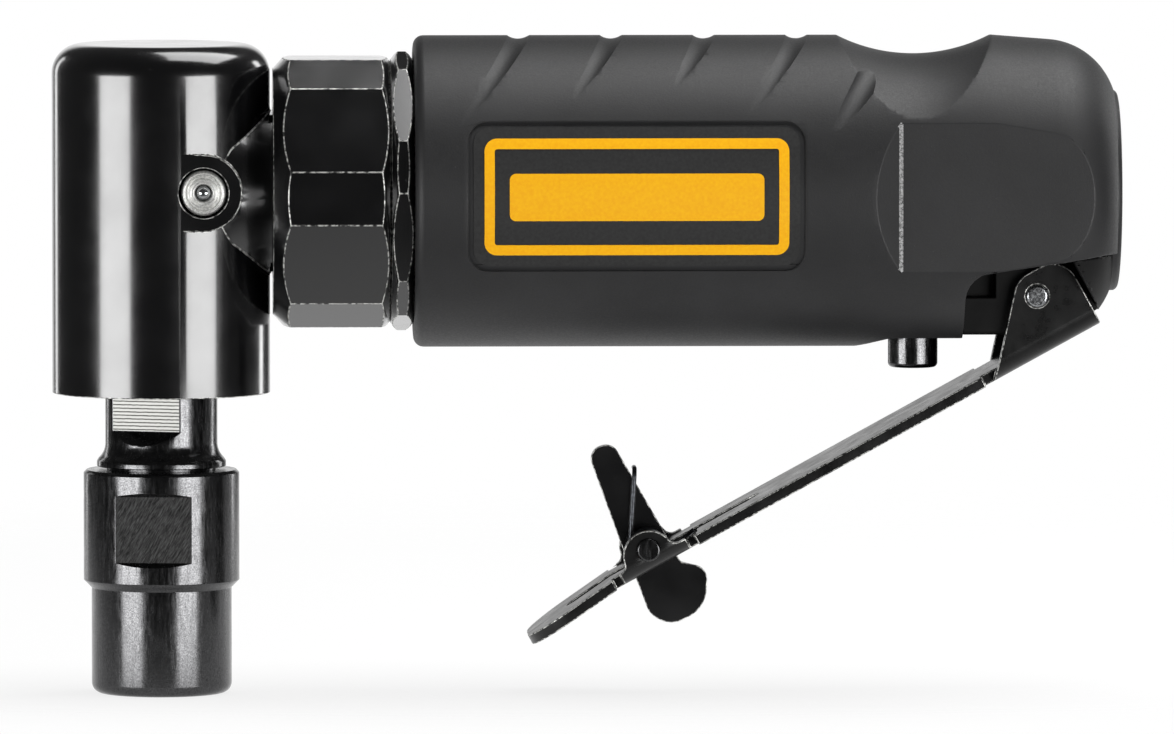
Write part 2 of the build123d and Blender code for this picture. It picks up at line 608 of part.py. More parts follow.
def make_angle_head():
    """Head casting: upright barrel, neck towards the motor, grease boss."""
    barrel = turned_z([(0, HEAD_BOTTOM), (HEAD_RADIUS, HEAD_BOTTOM), (HEAD_RADIUS, HEAD_TOP), (0, HEAD_TOP)])
    barrel = fillet(barrel.edges().group_by(Axis.Z)[-1], HEAD_TOP_ROUND)
    cone_start = HEAD_RADIUS - NECK_CONE_LENGTH
    neck = turned_x([(0, 0), (NECK_END, 0), (NECK_END, NECK_RADIUS), (HEAD_RADIUS, NECK_RADIUS),
                     (cone_start, NECK_ROOT_RADIUS), (0, NECK_ROOT_RADIUS)])
    boss_z = MOTOR_Z + BOSS_RISE
    head = barrel + neck + rod_y(BOSS_X, boss_z, BOSS_FACE_Y, 0, BOSS_RADIUS)
    boss_low = boss_z - BOSS_RADIUS
    boss_high = boss_z + BOSS_RADIUS
    head += plate_y([(0, boss_low), (BOSS_X, boss_low), (BOSS_X, boss_high), (0, boss_high)], BOSS_FACE_Y, 0)
    cavity_top = MOTOR_Z + PINION_PITCH_RADIUS + 1
    head -= turned_z([(0, HEAD_BOTTOM - 1), (LOWER_BEARING_RADIUS, HEAD_BOTTOM - 1),
                      (LOWER_BEARING_RADIUS, GEAR_HUB_Z), (HEAD_CAVITY_RADIUS, GEAR_HUB_Z),
                      (HEAD_CAVITY_RADIUS, cavity_top), (UPPER_BEARING_RADIUS, UPPER_BEARING_Z),
                      (UPPER_BEARING_RADIUS, UPPER_BEARING_TOP + SEAT), (0, UPPER_BEARING_TOP + SEAT)])
    pinion_room = PINION_PITCH_RADIUS + PINION_ADDENDUM * cos(PINION_CONE) + FREE
    head -= rod_x(0, FRONT_BEARING_X, pinion_room)
    head -= rod_x(FRONT_BEARING_X, NECK_END + 1, PINION_BEARING_RADIUS)
    head -= ring_x(NECK_RING_X, NECK_RING_WIDTH + 0.1, NECK_RADIUS + 3, NECK_RADIUS - NECK_RING_DEPTH)
    fitting_bottom = BOSS_FACE_Y + FITTING_RECESS + FITTING_LENGTH
    head -= rod_y(BOSS_X, boss_z, BOSS_FACE_Y - 1, fitting_bottom, FITTING_RADIUS + FREE)
    return head - rod_y(BOSS_X, boss_z, BOSS_FACE_Y, 0, FITTING_HOLE_RADIUS)


def make_grease_fitting():
    """Flush grease fitting with a drilled mouth."""
    face = BOSS_FACE_Y + FITTING_RECESS
    z = MOTOR_Z + BOSS_RISE
    body = rod_y(BOSS_X, z, face, face + FITTING_LENGTH, FITTING_RADIUS)
    body = chamfer(body.edges().group_by(Axis.Y)[0], 0.5)
    flange = rod_y(BOSS_X, z, face + FITTING_LENGTH - 1, face + FITTING_LENGTH, FITTING_RADIUS + FREE - SEAT)
    body += flange
    return body - rod_y(BOSS_X, z, face - 1, face + FITTING_LENGTH + 1, FITTING_HOLE_RADIUS)


def make_grease_ball():
    y = BOSS_FACE_Y + FITTING_RECESS + FITTING_HOLE_RADIUS
    return Pos(BOSS_X, y, MOTOR_Z + BOSS_RISE) * Sphere(FITTING_HOLE_RADIUS - SEAT)


def make_bearing_retainer():
    """Threaded ring that closes the head from below, with two spanner holes."""
    low = HEAD_BOTTOM + RETAINER_INSET
    inner = SPINDLE_RADIUS + FREE
    outer = LOWER_BEARING_RADIUS - SEAT
    high = low + RETAINER_HEIGHT
    ring = turned_z([(inner, low), (outer, low), (outer, high), (inner, high)])
    for side in (-1, 1):
        ring -= Pos(0, side * (inner + outer) / 2, low) * Cylinder(0.9, 3.0)
    return ring


def make_lower_bearing():
    return bearing_z(LOWER_BEARING_Z, LOWER_BEARING_WIDTH, LOWER_BEARING_RADIUS, LOWER_BEARING_BORE)


def make_upper_bearing():
    return bearing_z(UPPER_BEARING_Z, UPPER_BEARING_WIDTH, UPPER_BEARING_RADIUS, JOURNAL_RADIUS)


def make_pinion_front_bearing():
    return bearing_x(FRONT_BEARING_X, PINION_BEARING_WIDTH, PINION_BEARING_RADIUS, JOURNAL_RADIUS)


def make_pinion_rear_bearing():
    return bearing_x(REAR_BEARING_X, PINION_BEARING_WIDTH, PINION_BEARING_RADIUS, JOURNAL_RADIUS)


def make_bearing_spacer():
    start = FRONT_BEARING_X + PINION_BEARING_WIDTH
    outer = PINION_BEARING_RADIUS - SEAT
    return ring_x(start, PINION_BEARING_SPACE, outer, outer - 1.6)


# Coupling nut, neck ring and clamp nut

def hex_bar(x, end, turn, front_chamfer, rear_chamfer):
    """Hexagonal bar along the motor axis with cut corners and turned end chamfers."""
    corner = HEX_CORNERS / 2
    top = hypot(corner, HEX_FLATS / 2) * 1.2
    full = hypot(HEX_FLATS / 2, 2 * corner - HEX_FLATS / 2 * sqrt(3))
    edge = RegularPolygon(HEX_FLATS / 2, 6, major_radius=False)
    cut = RegularPolygon(corner, 6, major_radius=False, rotation=30)
    plane = Plane(origin=(x, 0, MOTOR_Z), x_dir=(0, 1, 0), z_dir=(1, 0, 0))
    bar = extrude(plane * (Rot(0, 0, turn) * (edge & cut)), end - x)
    tool = turned_x([(x, 0), (end, 0), (end, full - rear_chamfer[1]), (end - rear_chamfer[0], full),
                     (end - rear_chamfer[0], top), (x + front_chamfer[0], top),
                     (x + front_chamfer[0], full), (x, full - front_chamfer[1])])
    return bar & tool


def make_coupling_nut():
    """Hexagonal union nut that pulls the head onto the motor."""
    nut = hex_bar(COUPLING_X, COUPLING_END, 0, COUPLING_FRONT_CHAMFER, COUPLING_REAR_CHAMFER)
    nut -= rod_x(COUPLING_X - 1, COUPLING_END + 1, NECK_RADIUS + FREE)
    return nut - rod_x(NECK_RING_X, COUPLING_END + 1, CLAMP_NOSE_RADIUS + SEAT)


def make_neck_ring():
    """Split ring in the neck groove; the coupling nut's shoulder bears on it."""
    ring = ring_x(NECK_RING_X + 0.05, NECK_RING_WIDTH, NECK_RING_RADIUS, NECK_RADIUS - NECK_RING_DEPTH + SEAT)
    slit = Box(4 * NECK_RING_WIDTH, 2.0, 2 * NECK_RING_RADIUS, align=(Align.CENTER, Align.CENTER, Align.MAX))
    return ring - Pos(NECK_RING_X, 0, MOTOR_Z) * slit


def make_clamp_nut():
    """Threaded nose for the coupling nut, hexagonal flange, thread into the housing."""
    nut = hex_bar(COUPLING_END, FLANGE_END, -CLAMP_TURN, CLAMP_FLANGE_CHAMFER, CLAMP_FLANGE_CHAMFER)
    nut += rod_x(CLAMP_NOSE_X, COUPLING_END + 1, CLAMP_NOSE_RADIUS)
    nut += rod_x(FLANGE_END - 1, FRONT_PLATE_X, MOTOR_RADIUS)
    nut -= rod_x(CLAMP_NOSE_X - 1, NECK_END + FREE, NECK_RADIUS + SEAT)
    return nut - rod_x(NECK_END, FRONT_PLATE_X + 1, CLAMP_BORE_RADIUS)


# Air motor

def make_front_end_plate():
    plate = ring_x(FRONT_PLATE_X, END_PLATE, MOTOR_RADIUS, ROTOR_JOURNAL_RADIUS + 1)
    plate -= rod_x(FRONT_PLATE_X - 1, FRONT_PLATE_X + ROTOR_BEARING_WIDTH, ROTOR_BEARING_RADIUS)
    return plate - dowel_hole()


def make_rear_end_plate():
    plate = ring_x(REAR_PLATE_X, END_PLATE, MOTOR_RADIUS, ROTOR_JOURNAL_RADIUS + 1)
    plate -= rod_x(REAR_PLATE_END - ROTOR_BEARING_WIDTH, REAR_PLATE_END + 1, ROTOR_BEARING_RADIUS)
    reach = (ROTOR_BEARING_RADIUS + MOTOR_RADIUS) / 2
    for side in (-1, 1):
        turn = Rot(side * 40, 0, 0)
        port = Pos(0, 0, -reach) * Rot(0, 90, 0) * Cylinder(1.2, 4 * END_PLATE)
        plate -= Pos(REAR_PLATE_X, 0, MOTOR_Z) * turn * port
    return plate - dowel_hole()


def dowel_bar(gap):
    """Pin that lines up the end plates and the cylinder, in the cylinder's thick side."""
    radius = (MOTOR_RADIUS + CYLINDER_BORE_RADIUS - CYLINDER_OFFSET) / 2
    reach = END_PLATE / 2
    start = CYLINDER_X - reach - gap
    length = CYLINDER_LENGTH + 2 * reach + 2 * gap
    bar = Cylinder(DOWEL_RADIUS + gap, length, align=(Align.CENTER, Align.CENTER, Align.MIN))
    return Pos(start, 0, MOTOR_Z + radius) * Rot(0, 90, 0) * bar


def dowel_hole():
    return dowel_bar(SEAT)


def make_cylinder_dowel():
    return dowel_bar(0)


def make_cylinder():
    """Cylinder with its bore set off the rotor axis and exhaust ports along one side."""
    body = rod_x(CYLINDER_X, REAR_PLATE_X, MOTOR_RADIUS)
    body -= Pos(0, 0, -CYLINDER_OFFSET) * rod_x(CYLINDER_X - 1, REAR_PLATE_X + 1, CYLINDER_BORE_RADIUS)
    ports = 4
    for index in range(ports):
        x = CYLINDER_X + CYLINDER_LENGTH * (index + 1) / (ports + 1)
        body -= Pos(x, 0, MOTOR_Z - MOTOR_RADIUS) * Box(EXHAUST_PORT_WIDTH, MOTOR_RADIUS, 2 * CYLINDER_WALL)
    return body - dowel_hole()


def blade_block(gap):
    """Flat blade in its rotor slot, at the top, before it is copied round."""
    length = CYLINDER_LENGTH - 2 * ROTOR_END_GAP
    top = ROTOR_RADIUS - 0.1 + gap
    block = Box(length - 0.2 + 2 * gap, BLADE_WIDTH + gap, BLADE_HEIGHT + 2 * gap,
                align=(Align.CENTER, Align.CENTER, Align.MAX))
    return Pos(CYLINDER_X + CYLINDER_LENGTH / 2, 0, top) * block


def blades(gap):
    """All blades round the rotor axis."""
    return [Pos(0, 0, MOTOR_Z) * Rot(36 + 360 / BLADE_COUNT * index, 0, 0) * blade_block(gap)
            for index in range(BLADE_COUNT)]


def make_rotor_blades():
    return Compound(children=blades(0))


def make_rotor():
    """Slotted rotor with its two journals and the square drive socket."""
    nose = REAR_BEARING_END + 3.0
    rotor = rod_x(CYLINDER_X + ROTOR_END_GAP, REAR_PLATE_X - ROTOR_END_GAP, ROTOR_RADIUS)
    rotor += rod_x(nose, REAR_PLATE_END, ROTOR_JOURNAL_RADIUS)
    for slot in blades(0.15):
        rotor -= slot
    side = DRIVE_SQUARE + 2 * SEAT
    socket_depth = REAR_BEARING_END + 2.1 + DRIVE_LENGTH - nose + FREE
    socket = Box(socket_depth + 1, side, side, align=(Align.MIN, Align.CENTER, Align.CENTER))
    return rotor - Pos(nose - 1, 0, MOTOR_Z) * socket


def make_rotor_front_bearing():
    return bearing_x(FRONT_PLATE_X, ROTOR_BEARING_WIDTH, ROTOR_BEARING_RADIUS, ROTOR_JOURNAL_RADIUS)


def make_rotor_rear_bearing():
    start = REAR_PLATE_END - ROTOR_BEARING_WIDTH
    return bearing_x(start, ROTOR_BEARING_WIDTH, ROTOR_BEARING_RADIUS, ROTOR_JOURNAL_RADIUS)


def make_motor_gasket():
    return ring_x(REAR_PLATE_END, GASKET, MOTOR_RADIUS, ROTOR_BEARING_RADIUS - 1)


# Motor housing with valve chest, lever lug and air passages

def lever_point(s, n):
    """Place in (x, z) of a point on the lever, s towards its tip and n outwards."""
    slope = radians(LEVER_SLOPE)
    return (LEVER_PIN_X - s * cos(slope) + n * sin(slope), LEVER_PIN_Z - s * sin(slope) - n * cos(slope))


def pocket_top():
    """Upper edge of the lever pocket, front to rear: (x, height from the motor axis)."""
    front_round = POCKET_ROUND_TOP[0] - POCKET_FRONT
    return [(POCKET_FRONT, POCKET_ROUND_TOP[1] - 0.8 * front_round),
            (POCKET_FRONT + 0.3 * front_round, POCKET_ROUND_TOP[1] - 0.25 * front_round),
            POCKET_ROUND_TOP, POCKET_REAR_TOP]


def rear_face_of_pocket():
    """Sloped rear face of the pocket, a gap behind the lever's rear edge: top and bottom (x, z)."""
    behind = -LEVER_REAR - 2 * FREE
    return lever_point(behind, -EAR_TOP - 1.5), lever_point(behind, 3 * LEVER_OFFSET)


def make_motor_housing():
    """Barrel of the motor with the valve chest, the lug for the lever and the rear wall."""
    housing = turned_x([(SLEEVE_X, 0), (HOUSING_END, 0), (HOUSING_END, HOUSING_RADIUS - HOUSING_TAIL_CHAMFER),
                        (HOUSING_END - HOUSING_TAIL_CHAMFER, HOUSING_RADIUS), (SLEEVE_X, HOUSING_RADIUS)])
    top, bottom = rear_face_of_pocket()
    below = MOTOR_Z - 2 * SLEEVE_RADIUS
    hollow = from_axis(pocket_top()[:-1]) + [top, bottom, (bottom[0], below), (POCKET_FRONT, below)]
    housing -= plate_y(hollow, -2 * SLEEVE_RADIUS, 2 * SLEEVE_RADIUS)
    rear_low = MOTOR_Z + REAR_WALL_BOTTOM
    upper_edge = [(x, z - REAR_WALL_GAP) for x, z in from_axis(pocket_top()[-2:])]
    upper_edge.append((SLEEVE_END + 1, upper_edge[-1][1]))
    wall_outline = [top, bottom, (SLEEVE_END + 1, bottom[1]), (SLEEVE_END + 1, top[1])]
    rear_wall = sleeve_body(REAR_WALL_INSET) & plate_y(wall_outline, -SLEEVE_RADIUS, SLEEVE_RADIUS)
    rear_wall &= plate_y(upper_edge + [(SLEEVE_END + 1, rear_low), (POCKET_ROUND_TOP[0], rear_low)],
                         -SLEEVE_RADIUS, SLEEVE_RADIUS)
    housing += rear_wall
    housing += lever_lug()
    housing -= rod_x(HOUSING_END, SLEEVE_END + 1, EXHAUST_COVER_RADIUS + SEAT)
    housing -= rod_x(SLEEVE_X - 1, BULKHEAD_X, MOTOR_RADIUS + SEAT)
    housing -= rod_x(INLET_X, HOUSING_END + 1, INLET_RADIUS)
    housing -= rod_x(PLUNGER_X, INLET_X + 1, INLET_PASSAGE_RADIUS)
    housing -= rod_z(PLUNGER_X, -SLEEVE_RADIUS - 1, HOUSING_RADIUS + 1, VALVE_BORE_RADIUS)
    feed = Cylinder(1.2, PLUNGER_X - BULKHEAD_X + 2, align=(Align.CENTER, Align.CENTER, Align.MIN))
    housing -= Pos(BULKHEAD_X - 1, 0, MOTOR_Z + (BUSHING_TOP + SEAT_BOTTOM) / 2) * Rot(0, 90, 0) * feed
    for turn in (-40, 0, 40):
        port = Pos(BULKHEAD_X - 1, 0, 0) * Rot(0, 90, 0) * Cylinder(
            1.5, HOUSING_END - BULKHEAD_X + 2, align=(Align.CENTER, Align.CENTER, Align.MIN))
        reach = (INLET_RADIUS + MOTOR_RADIUS) / 2
        if turn:
            housing -= Pos(0, 0, MOTOR_Z) * Rot(turn, 0, 0) * Pos(0, 0, reach) * port
    return housing - rod_y(LEVER_PIN_X, LEVER_PIN_Z, -SLEEVE_RADIUS, SLEEVE_RADIUS, LEVER_PIN_RADIUS + SEAT)


def lever_lug():
    """Lug between the lever's ears; its sloped rear underside is the lever's rest stop."""
    gap_n = LEVER_OFFSET - FREE
    bottom = MOTOR_Z + LUG_BOTTOM
    slope = radians(LEVER_SLOPE)
    corner_s = (LEVER_PIN_Z - bottom - gap_n * cos(slope)) / sin(slope)
    corner = lever_point(corner_s, gap_n)
    rear = lever_point(-LEVER_REAR - 2 * FREE, gap_n)
    rear_up = lever_point(-LEVER_REAR - 2 * FREE, -EAR_TOP - 1.5)
    top = min(MOTOR_Z - INLET_RADIUS - 0.5, rear_up[1])
    front = POCKET_FRONT
    lug = plate_y([(front, bottom), corner, rear, rear_up, (front, top)], -LUG_HALF_WIDTH, LUG_HALF_WIDTH)
    lower_edges = [edge for edge in lug.edges() if edge.center().Z < LEVER_PIN_Z - LEVER_PIN_RADIUS
                   and abs(edge.center().Y) > LUG_HALF_WIDTH / 2]
    lug = fillet(lower_edges, LEVER_BEND_RADIUS - LEVER_SHEET - FREE)
    ledge = MOTOR_Z + LUG_LEDGE
    inner = LUG_HALF_WIDTH - LUG_NARROWING
    for side in (-1, 1):
        low = min(side * inner, side * 2 * LUG_HALF_WIDTH)
        lug -= plate_y([(POCKET_FRONT, ledge), (LUG_LEDGE_REAR, ledge), (LUG_LEDGE_REAR, MOTOR_Z),
                        (POCKET_FRONT, MOTOR_Z)], low, low + 2 * LUG_HALF_WIDTH - inner)
    return lug


def make_lever_pin():
    half = LEVER_WIDTH / 2 + 0.4
    pin = rod_y(LEVER_PIN_X, LEVER_PIN_Z, -half, half, LEVER_PIN_RADIUS)
    return chamfer(pin.edges().filter_by(GeomType.CIRCLE), 0.25)


# Grip sleeve

def sleeve_body(inset):
    """Outer form of the sleeve without its cuts, drawn in by an inset at the rear."""
    radius = SLEEVE_RADIUS - inset
    end = SLEEVE_END - inset
    tail_x = end - SLEEVE_TAIL_LENGTH
    tail = SLEEVE_TAIL_RADIUS - inset
    edge = SLEEVE_END_RADIUS
    edge_x = end - SLEEVE_END_CROWN
    lead_x = SCOOP_X + SCOOP_LENGTH / 2
    side = Polyline((SLEEVE_X, 0, MOTOR_Z), (SLEEVE_X, 0, MOTOR_Z + radius),
                    (lead_x, 0, MOTOR_Z + radius), (tail_x, 0, MOTOR_Z + tail))
    corner_x = tail_x + SLEEVE_TAIL_ROUND[0] * (edge_x - tail_x)
    corner = (corner_x, 0, MOTOR_Z + edge + SLEEVE_TAIL_ROUND[1] * (tail - edge))
    round_end = ThreePointArc((tail_x, 0, MOTOR_Z + tail), corner, (edge_x, 0, MOTOR_Z + edge))
    close = Polyline((edge_x, 0, MOTOR_Z + edge), (end, 0, MOTOR_Z), (SLEEVE_X, 0, MOTOR_Z))
    return revolve(make_face([side, round_end, close]), MOTOR_AXIS, 360)


def scoop_tool():
    """Thumb scoop on top: a waist turned about a lowered axis, so that it fades down the sides."""
    deepest = SLEEVE_RADIUS - SCOOP_DEPTH + SCOOP_AXIS_DROP
    arc = (SCOOP_LENGTH ** 2 / 4 + SCOOP_DEPTH ** 2) / (2 * SCOOP_DEPTH)
    rise = SCOOP_DEPTH + 1.0
    half = sqrt(2 * arc * rise - rise ** 2)
    rim = deepest + rise
    axis_z = MOTOR_Z - SCOOP_AXIS_DROP
    cut = ThreePointArc((SCOOP_X - half, 0, axis_z + rim), (SCOOP_X, 0, axis_z + deepest),
                        (SCOOP_X + half, 0, axis_z + rim))
    lid_z = axis_z + rim + 2 * SCOOP_DEPTH
    lid = Polyline((SCOOP_X + half, 0, axis_z + rim), (SCOOP_X + half, 0, lid_z),
                   (SCOOP_X - half, 0, lid_z), (SCOOP_X - half, 0, axis_z + rim))
    waist = revolve(make_face([cut, lid]), Axis((0, 0, axis_z), (1, 0, 0)), 360)
    upper = Box(2 * SCOOP_LENGTH, 4 * SLEEVE_RADIUS, 2 * SLEEVE_RADIUS,
                align=(Align.CENTER, Align.CENTER, Align.MIN))
    return waist & (Pos(SCOOP_X, 0, MOTOR_Z) * upper)


def groove_tool(index):
    """Slanted finger groove: an arc of tube over the top of the sleeve, with round lower ends."""
    slant = radians(GROOVE_SLANT)
    end, extra, shift = GROOVES[index]
    x = GROOVE_FIRST_X + GROOVE_PITCH * index
    crest = SLEEVE_RADIUS + GROOVE_RADIUS - GROOVE_TOP_DEPTH - extra
    major = crest / cos(slant) - shift
    ring_x_centre = x - crest * tan(slant) + shift * sin(slant)
    ring_z_centre = MOTOR_Z + shift * cos(slant)
    facing = (cos(slant), 0, -sin(slant))
    plane = Plane(origin=(ring_x_centre, 0, ring_z_centre), x_dir=(0, 1, 0), z_dir=facing)
    upper = Box(4 * SLEEVE_RADIUS, 4 * SLEEVE_RADIUS, 2 * SLEEVE_RADIUS,
                align=(Align.CENTER, Align.CENTER, Align.MIN))
    tool = plane * Torus(major, GROOVE_RADIUS) & (Pos(x, 0, MOTOR_Z + end) * upper)
    rise = end / cos(slant) - shift
    reach = sqrt(major ** 2 - rise ** 2)
    for side in (-reach, reach):
        tool += plane * Pos(side, rise, 0) * Sphere(GROOVE_RADIUS)
    return tool


def belly_tool():
    """Shallow flat under the handle round the plunger, with a ramp at the front."""
    flat = MOTOR_Z - SLEEVE_RADIUS + BELLY_DEPTH
    low = flat - 2 * BELLY_DEPTH
    end = BELLY_FRONT + BELLY_LENGTH
    ramp = BELLY_FRONT - 2 * BELLY_RAMP
    return plate_y([(BELLY_FRONT, flat), (end, flat), (end, low), (ramp, low)],
                   -2 * SLEEVE_RADIUS, 2 * SLEEVE_RADIUS)


def side_flat_tool(side):
    """Flat on one side of the rear of the handle, with a ramp at its front."""
    flat = SLEEVE_RADIUS - SIDE_FLAT_DEPTH
    wide = flat + 2 * SIDE_FLAT_DEPTH
    ramp = SIDE_FLAT_FRONT - 2 * SIDE_FLAT_RAMP
    points = [(SIDE_FLAT_FRONT, flat), (SLEEVE_END + 1, flat), (SLEEVE_END + 1, wide), (ramp, wide)]
    outline = make_face(Polyline(*[(x, side * y, MOTOR_Z) for x, y in points], close=True))
    return extrude(outline, 2 * SLEEVE_RADIUS, dir=(0, 0, 1), both=True)


def label_seat():
    """Shallow seat for a label on the near side, following the round of the handle."""
    skin = ring_x(LABEL_X - LABEL_LENGTH, 2 * LABEL_LENGTH, SLEEVE_RADIUS + 2, SLEEVE_RADIUS - LABEL_DEPTH)
    plane = Plane(origin=(LABEL_X, 0, MOTOR_Z), x_dir=(1, 0, 0), z_dir=(0, -1, 0))
    window = extrude(plane * RectangleRounded(LABEL_LENGTH, LABEL_HEIGHT, LABEL_CORNER), 2 * SLEEVE_RADIUS)
    return skin & window


def make_grip_sleeve():
    """Moulded handle cover."""
    sleeve = sleeve_body(0)
    front_edge = sleeve.edges().filter_by(GeomType.CIRCLE).group_by(Axis.X)[0]
    sleeve = fillet(front_edge, SLEEVE_FRONT_ROUND)
    sleeve -= rod_x(SLEEVE_X - 1, HOUSING_END + SEAT, SLEEVE_BORE_RADIUS)
    sleeve -= rod_x(HOUSING_END - 1, SLEEVE_END + 1, EXHAUST_COVER_RADIUS + SEAT)
    sleeve -= side_flat_tool(1)
    sleeve -= side_flat_tool(-1)
    sleeve -= belly_tool()
    below = MOTOR_Z - 2 * SLEEVE_RADIUS
    rear = SLEEVE_END + 1
    rear_rise = MOTOR_Z + POCKET_REAR_TOP[1]
    pocket = from_axis(pocket_top()) + [(rear, rear_rise), (rear, below), (POCKET_FRONT, below)]
    sleeve -= plate_y(pocket, -2 * SLEEVE_RADIUS, 2 * SLEEVE_RADIUS)
    sleeve -= rod_z(PLUNGER_X, -2 * SLEEVE_RADIUS, -HOUSING_RADIUS + 1, PLUNGER_RADIUS + FREE)
    sleeve -= label_seat()
    for index in range(len(GROOVES)):
        sleeve -= groove_tool(index)
    return sleeve - scoop_tool()


# Throttle plunger and valve

def make_throttle_bushing():
    body = rod_z(PLUNGER_X, BUSHING_BOTTOM, BUSHING_TOP, VALVE_BORE_RADIUS - SEAT)
    body &= rod_x(PLUNGER_X - 2 * VALVE_BORE_RADIUS, PLUNGER_X + 2 * VALVE_BORE_RADIUS, HOUSING_RADIUS)
    return body - rod_z(PLUNGER_X, BUSHING_BOTTOM - 1, BUSHING_TOP + 1, PLUNGER_RADIUS + RUN)


def ball_height():
    """Height of the valve ball's centre, resting just clear of its seat."""
    return SEAT_BOTTOM + SEAT_HEIGHT + sqrt(BALL_RADIUS ** 2 - SEAT_HOLE_RADIUS ** 2) + 0.1


def make_throttle_plunger():
    """Push pin that the lever lifts, with its O-ring groove and the tip that lifts the ball."""
    shoulder = SEAT_BOTTOM - PLUNGER_TRAVEL - FREE
    plunger = rod_z(PLUNGER_X, PLUNGER_BOTTOM, shoulder, PLUNGER_RADIUS)
    plunger = fillet(plunger.edges().group_by(Axis.Z)[0], PLUNGER_ROUND)
    tip = ball_height() - BALL_RADIUS
    plunger += rod_z(PLUNGER_X, shoulder - 1, tip, PLUNGER_TIP_RADIUS)
    groove = plunger_ring_height()
    half = ORING_SECTION + SEAT
    ring = rod_z(PLUNGER_X, groove - half, groove + half, PLUNGER_RADIUS + 1)
    ring -= rod_z(PLUNGER_X, groove - half, groove + half, PLUNGER_RADIUS - 2 * ORING_SECTION)
    return plunger - ring


def plunger_ring_height():
    return (BUSHING_BOTTOM + BUSHING_TOP) / 2


def make_plunger_oring():
    plane = Plane(origin=(PLUNGER_X, 0, MOTOR_Z + plunger_ring_height()))
    return oring(plane, PLUNGER_RADIUS - ORING_SECTION, ORING_SECTION)


def make_valve_seat():
    seat = rod_z(PLUNGER_X, SEAT_BOTTOM, SEAT_BOTTOM + SEAT_HEIGHT, VALVE_BORE_RADIUS - SEAT)
    return seat - rod_z(PLUNGER_X, SEAT_BOTTOM - 1, SEAT_BOTTOM + SEAT_HEIGHT + 1, SEAT_HOLE_RADIUS)


def make_valve_ball():
    return Pos(PLUNGER_X, 0, MOTOR_Z + ball_height()) * Sphere(BALL_RADIUS)


def make_valve_plug():
    """Screw plug above the valve spring, with a hexagon socket."""
    plug = rod_z(PLUNGER_X, PLUG_BOTTOM, PLUG_BOTTOM + PLUG_HEIGHT, VALVE_BORE_RADIUS - SEAT)
    socket = extrude(RegularPolygon(2.0, 6, major_radius=False), PLUG_HEIGHT)
    return plug - Pos(PLUNGER_X, 0, MOTOR_Z + PLUG_BOTTOM + PLUG_HEIGHT - 2.5) * socket


# Springs: one round wire along short arcs

def two_arcs(start, start_way, end, end_way):
    """Two arcs that join two points smoothly with the given directions."""
    gap = end - start
    both = start_way + end_way
    spread = 2 * (1 - start_way.dot(end_way))
    along = gap.dot(both)
    reach = (sqrt(along ** 2 + spread * gap.dot(gap)) - along) / spread
    first = start + start_way * reach
    second = end - end_way * reach
    middle = (first + second) * 0.5
    return [TangentArc(start, middle, tangent=start_way),
            TangentArc(middle, end, tangent=(second - first).normalized())]


def coil_points(sweep_angle, radius, pitch, start_angle):
    """Points and directions of a coil about +Z, about four a turn, with flat ends."""
    rows = []
    steps = ceil(sweep_angle / 90)
    step = radians(sweep_angle / steps)
    rise = 0.0
    for index in range(steps + 1):
        angle = radians(start_angle) + index * step
        at_end = index in (0, steps)
        climb = 0.0 if at_end else pitch / (2 * pi * radius)
        point = Vector(radius * cos(angle), radius * sin(angle), rise)
        way = Vector(-sin(angle), cos(angle), climb).normalized()
        rows.append((point, way))
        next_is_end = index in (0, steps - 1)
        share = 0.5 if next_is_end else 1.0
        rise += share * pitch * step / (2 * pi)
    return rows


def coil_edges(rows):
    edges = []
    for (start, start_way), (end, end_way) in zip(rows, rows[1:]):
        edges += two_arcs(start, start_way, end, end_way)
    return edges


def wire_along(edges, diameter):
    """Round wire swept along joined edges, in one piece."""
    path = Wire(edges)
    section = Plane(origin=path @ 0, z_dir=path % 0) * Circle(diameter / 2)
    return sweep(section, path)


def least_gap(edges, diameter):
    """Smallest clear gap between stretches of the wire that aren't neighbours."""
    path = Wire(edges)
    count = 400
    points = [path.position_at(index / count) for index in range(count + 1)]
    apart = round(count * 4 * diameter / path.length) + 1
    return min((a - b).length for i, a in enumerate(points) for b in points[i + apart:]) - diameter


def latch_centre():
    x, z = lever_point(LATCH_PIN_S, LATCH_PIN_N)
    return Vector(x, 0, z)


def safety_spring_path():
    """Coil on the latch pin, one leg up the latch arm, one leg along the strip."""
    start_y = -LATCH_SHEET / 2 - SPRING_SIDE_GAP - SPRING_WIRE / 2
    centre = latch_centre()
    strip_end = LEVER_SLOPE + SPRING_LEG_LIFT - 90
    swept = 360 * SPRING_TURNS + strip_end - SPRING_ARM_ANGLE
    rows = coil_points(swept, SPRING_COIL_RADIUS, SPRING_PITCH, SPRING_ARM_ANGLE)
    frame = Plane(origin=(centre.X, start_y, centre.Z), x_dir=(1, 0, 0), z_dir=(0, -1, 0))
    placed = [(frame.from_local_coords(point), frame.from_local_coords(point + way) -
               frame.from_local_coords(point)) for point, way in rows]
    arm_end, arm_way = placed[0]
    strip_start, strip_way = placed[-1]
    leg_top = arm_end - arm_way * (0.6 * LATCH_ARM_LENGTH)
    bend = 2 * SPRING_WIRE
    hook_way = Vector(0, 1, 0)
    hook_start = leg_top - arm_way * bend + hook_way * bend
    hook_end = hook_start + hook_way * (LATCH_SHEET + SPRING_WIRE)
    return ([Line(hook_end, hook_start)] + two_arcs(hook_start, -hook_way, leg_top, arm_way)
            + [Line(leg_top, arm_end)] + coil_edges(placed)
            + [Line(strip_start, strip_start + strip_way * SPRING_LEG)])


def make_safety_spring():
    edges = safety_spring_path()
    print("safety spring, least gap to itself:", round(least_gap(edges, SPRING_WIRE), 3), "mm")
    return wire_along(edges, SPRING_WIRE)


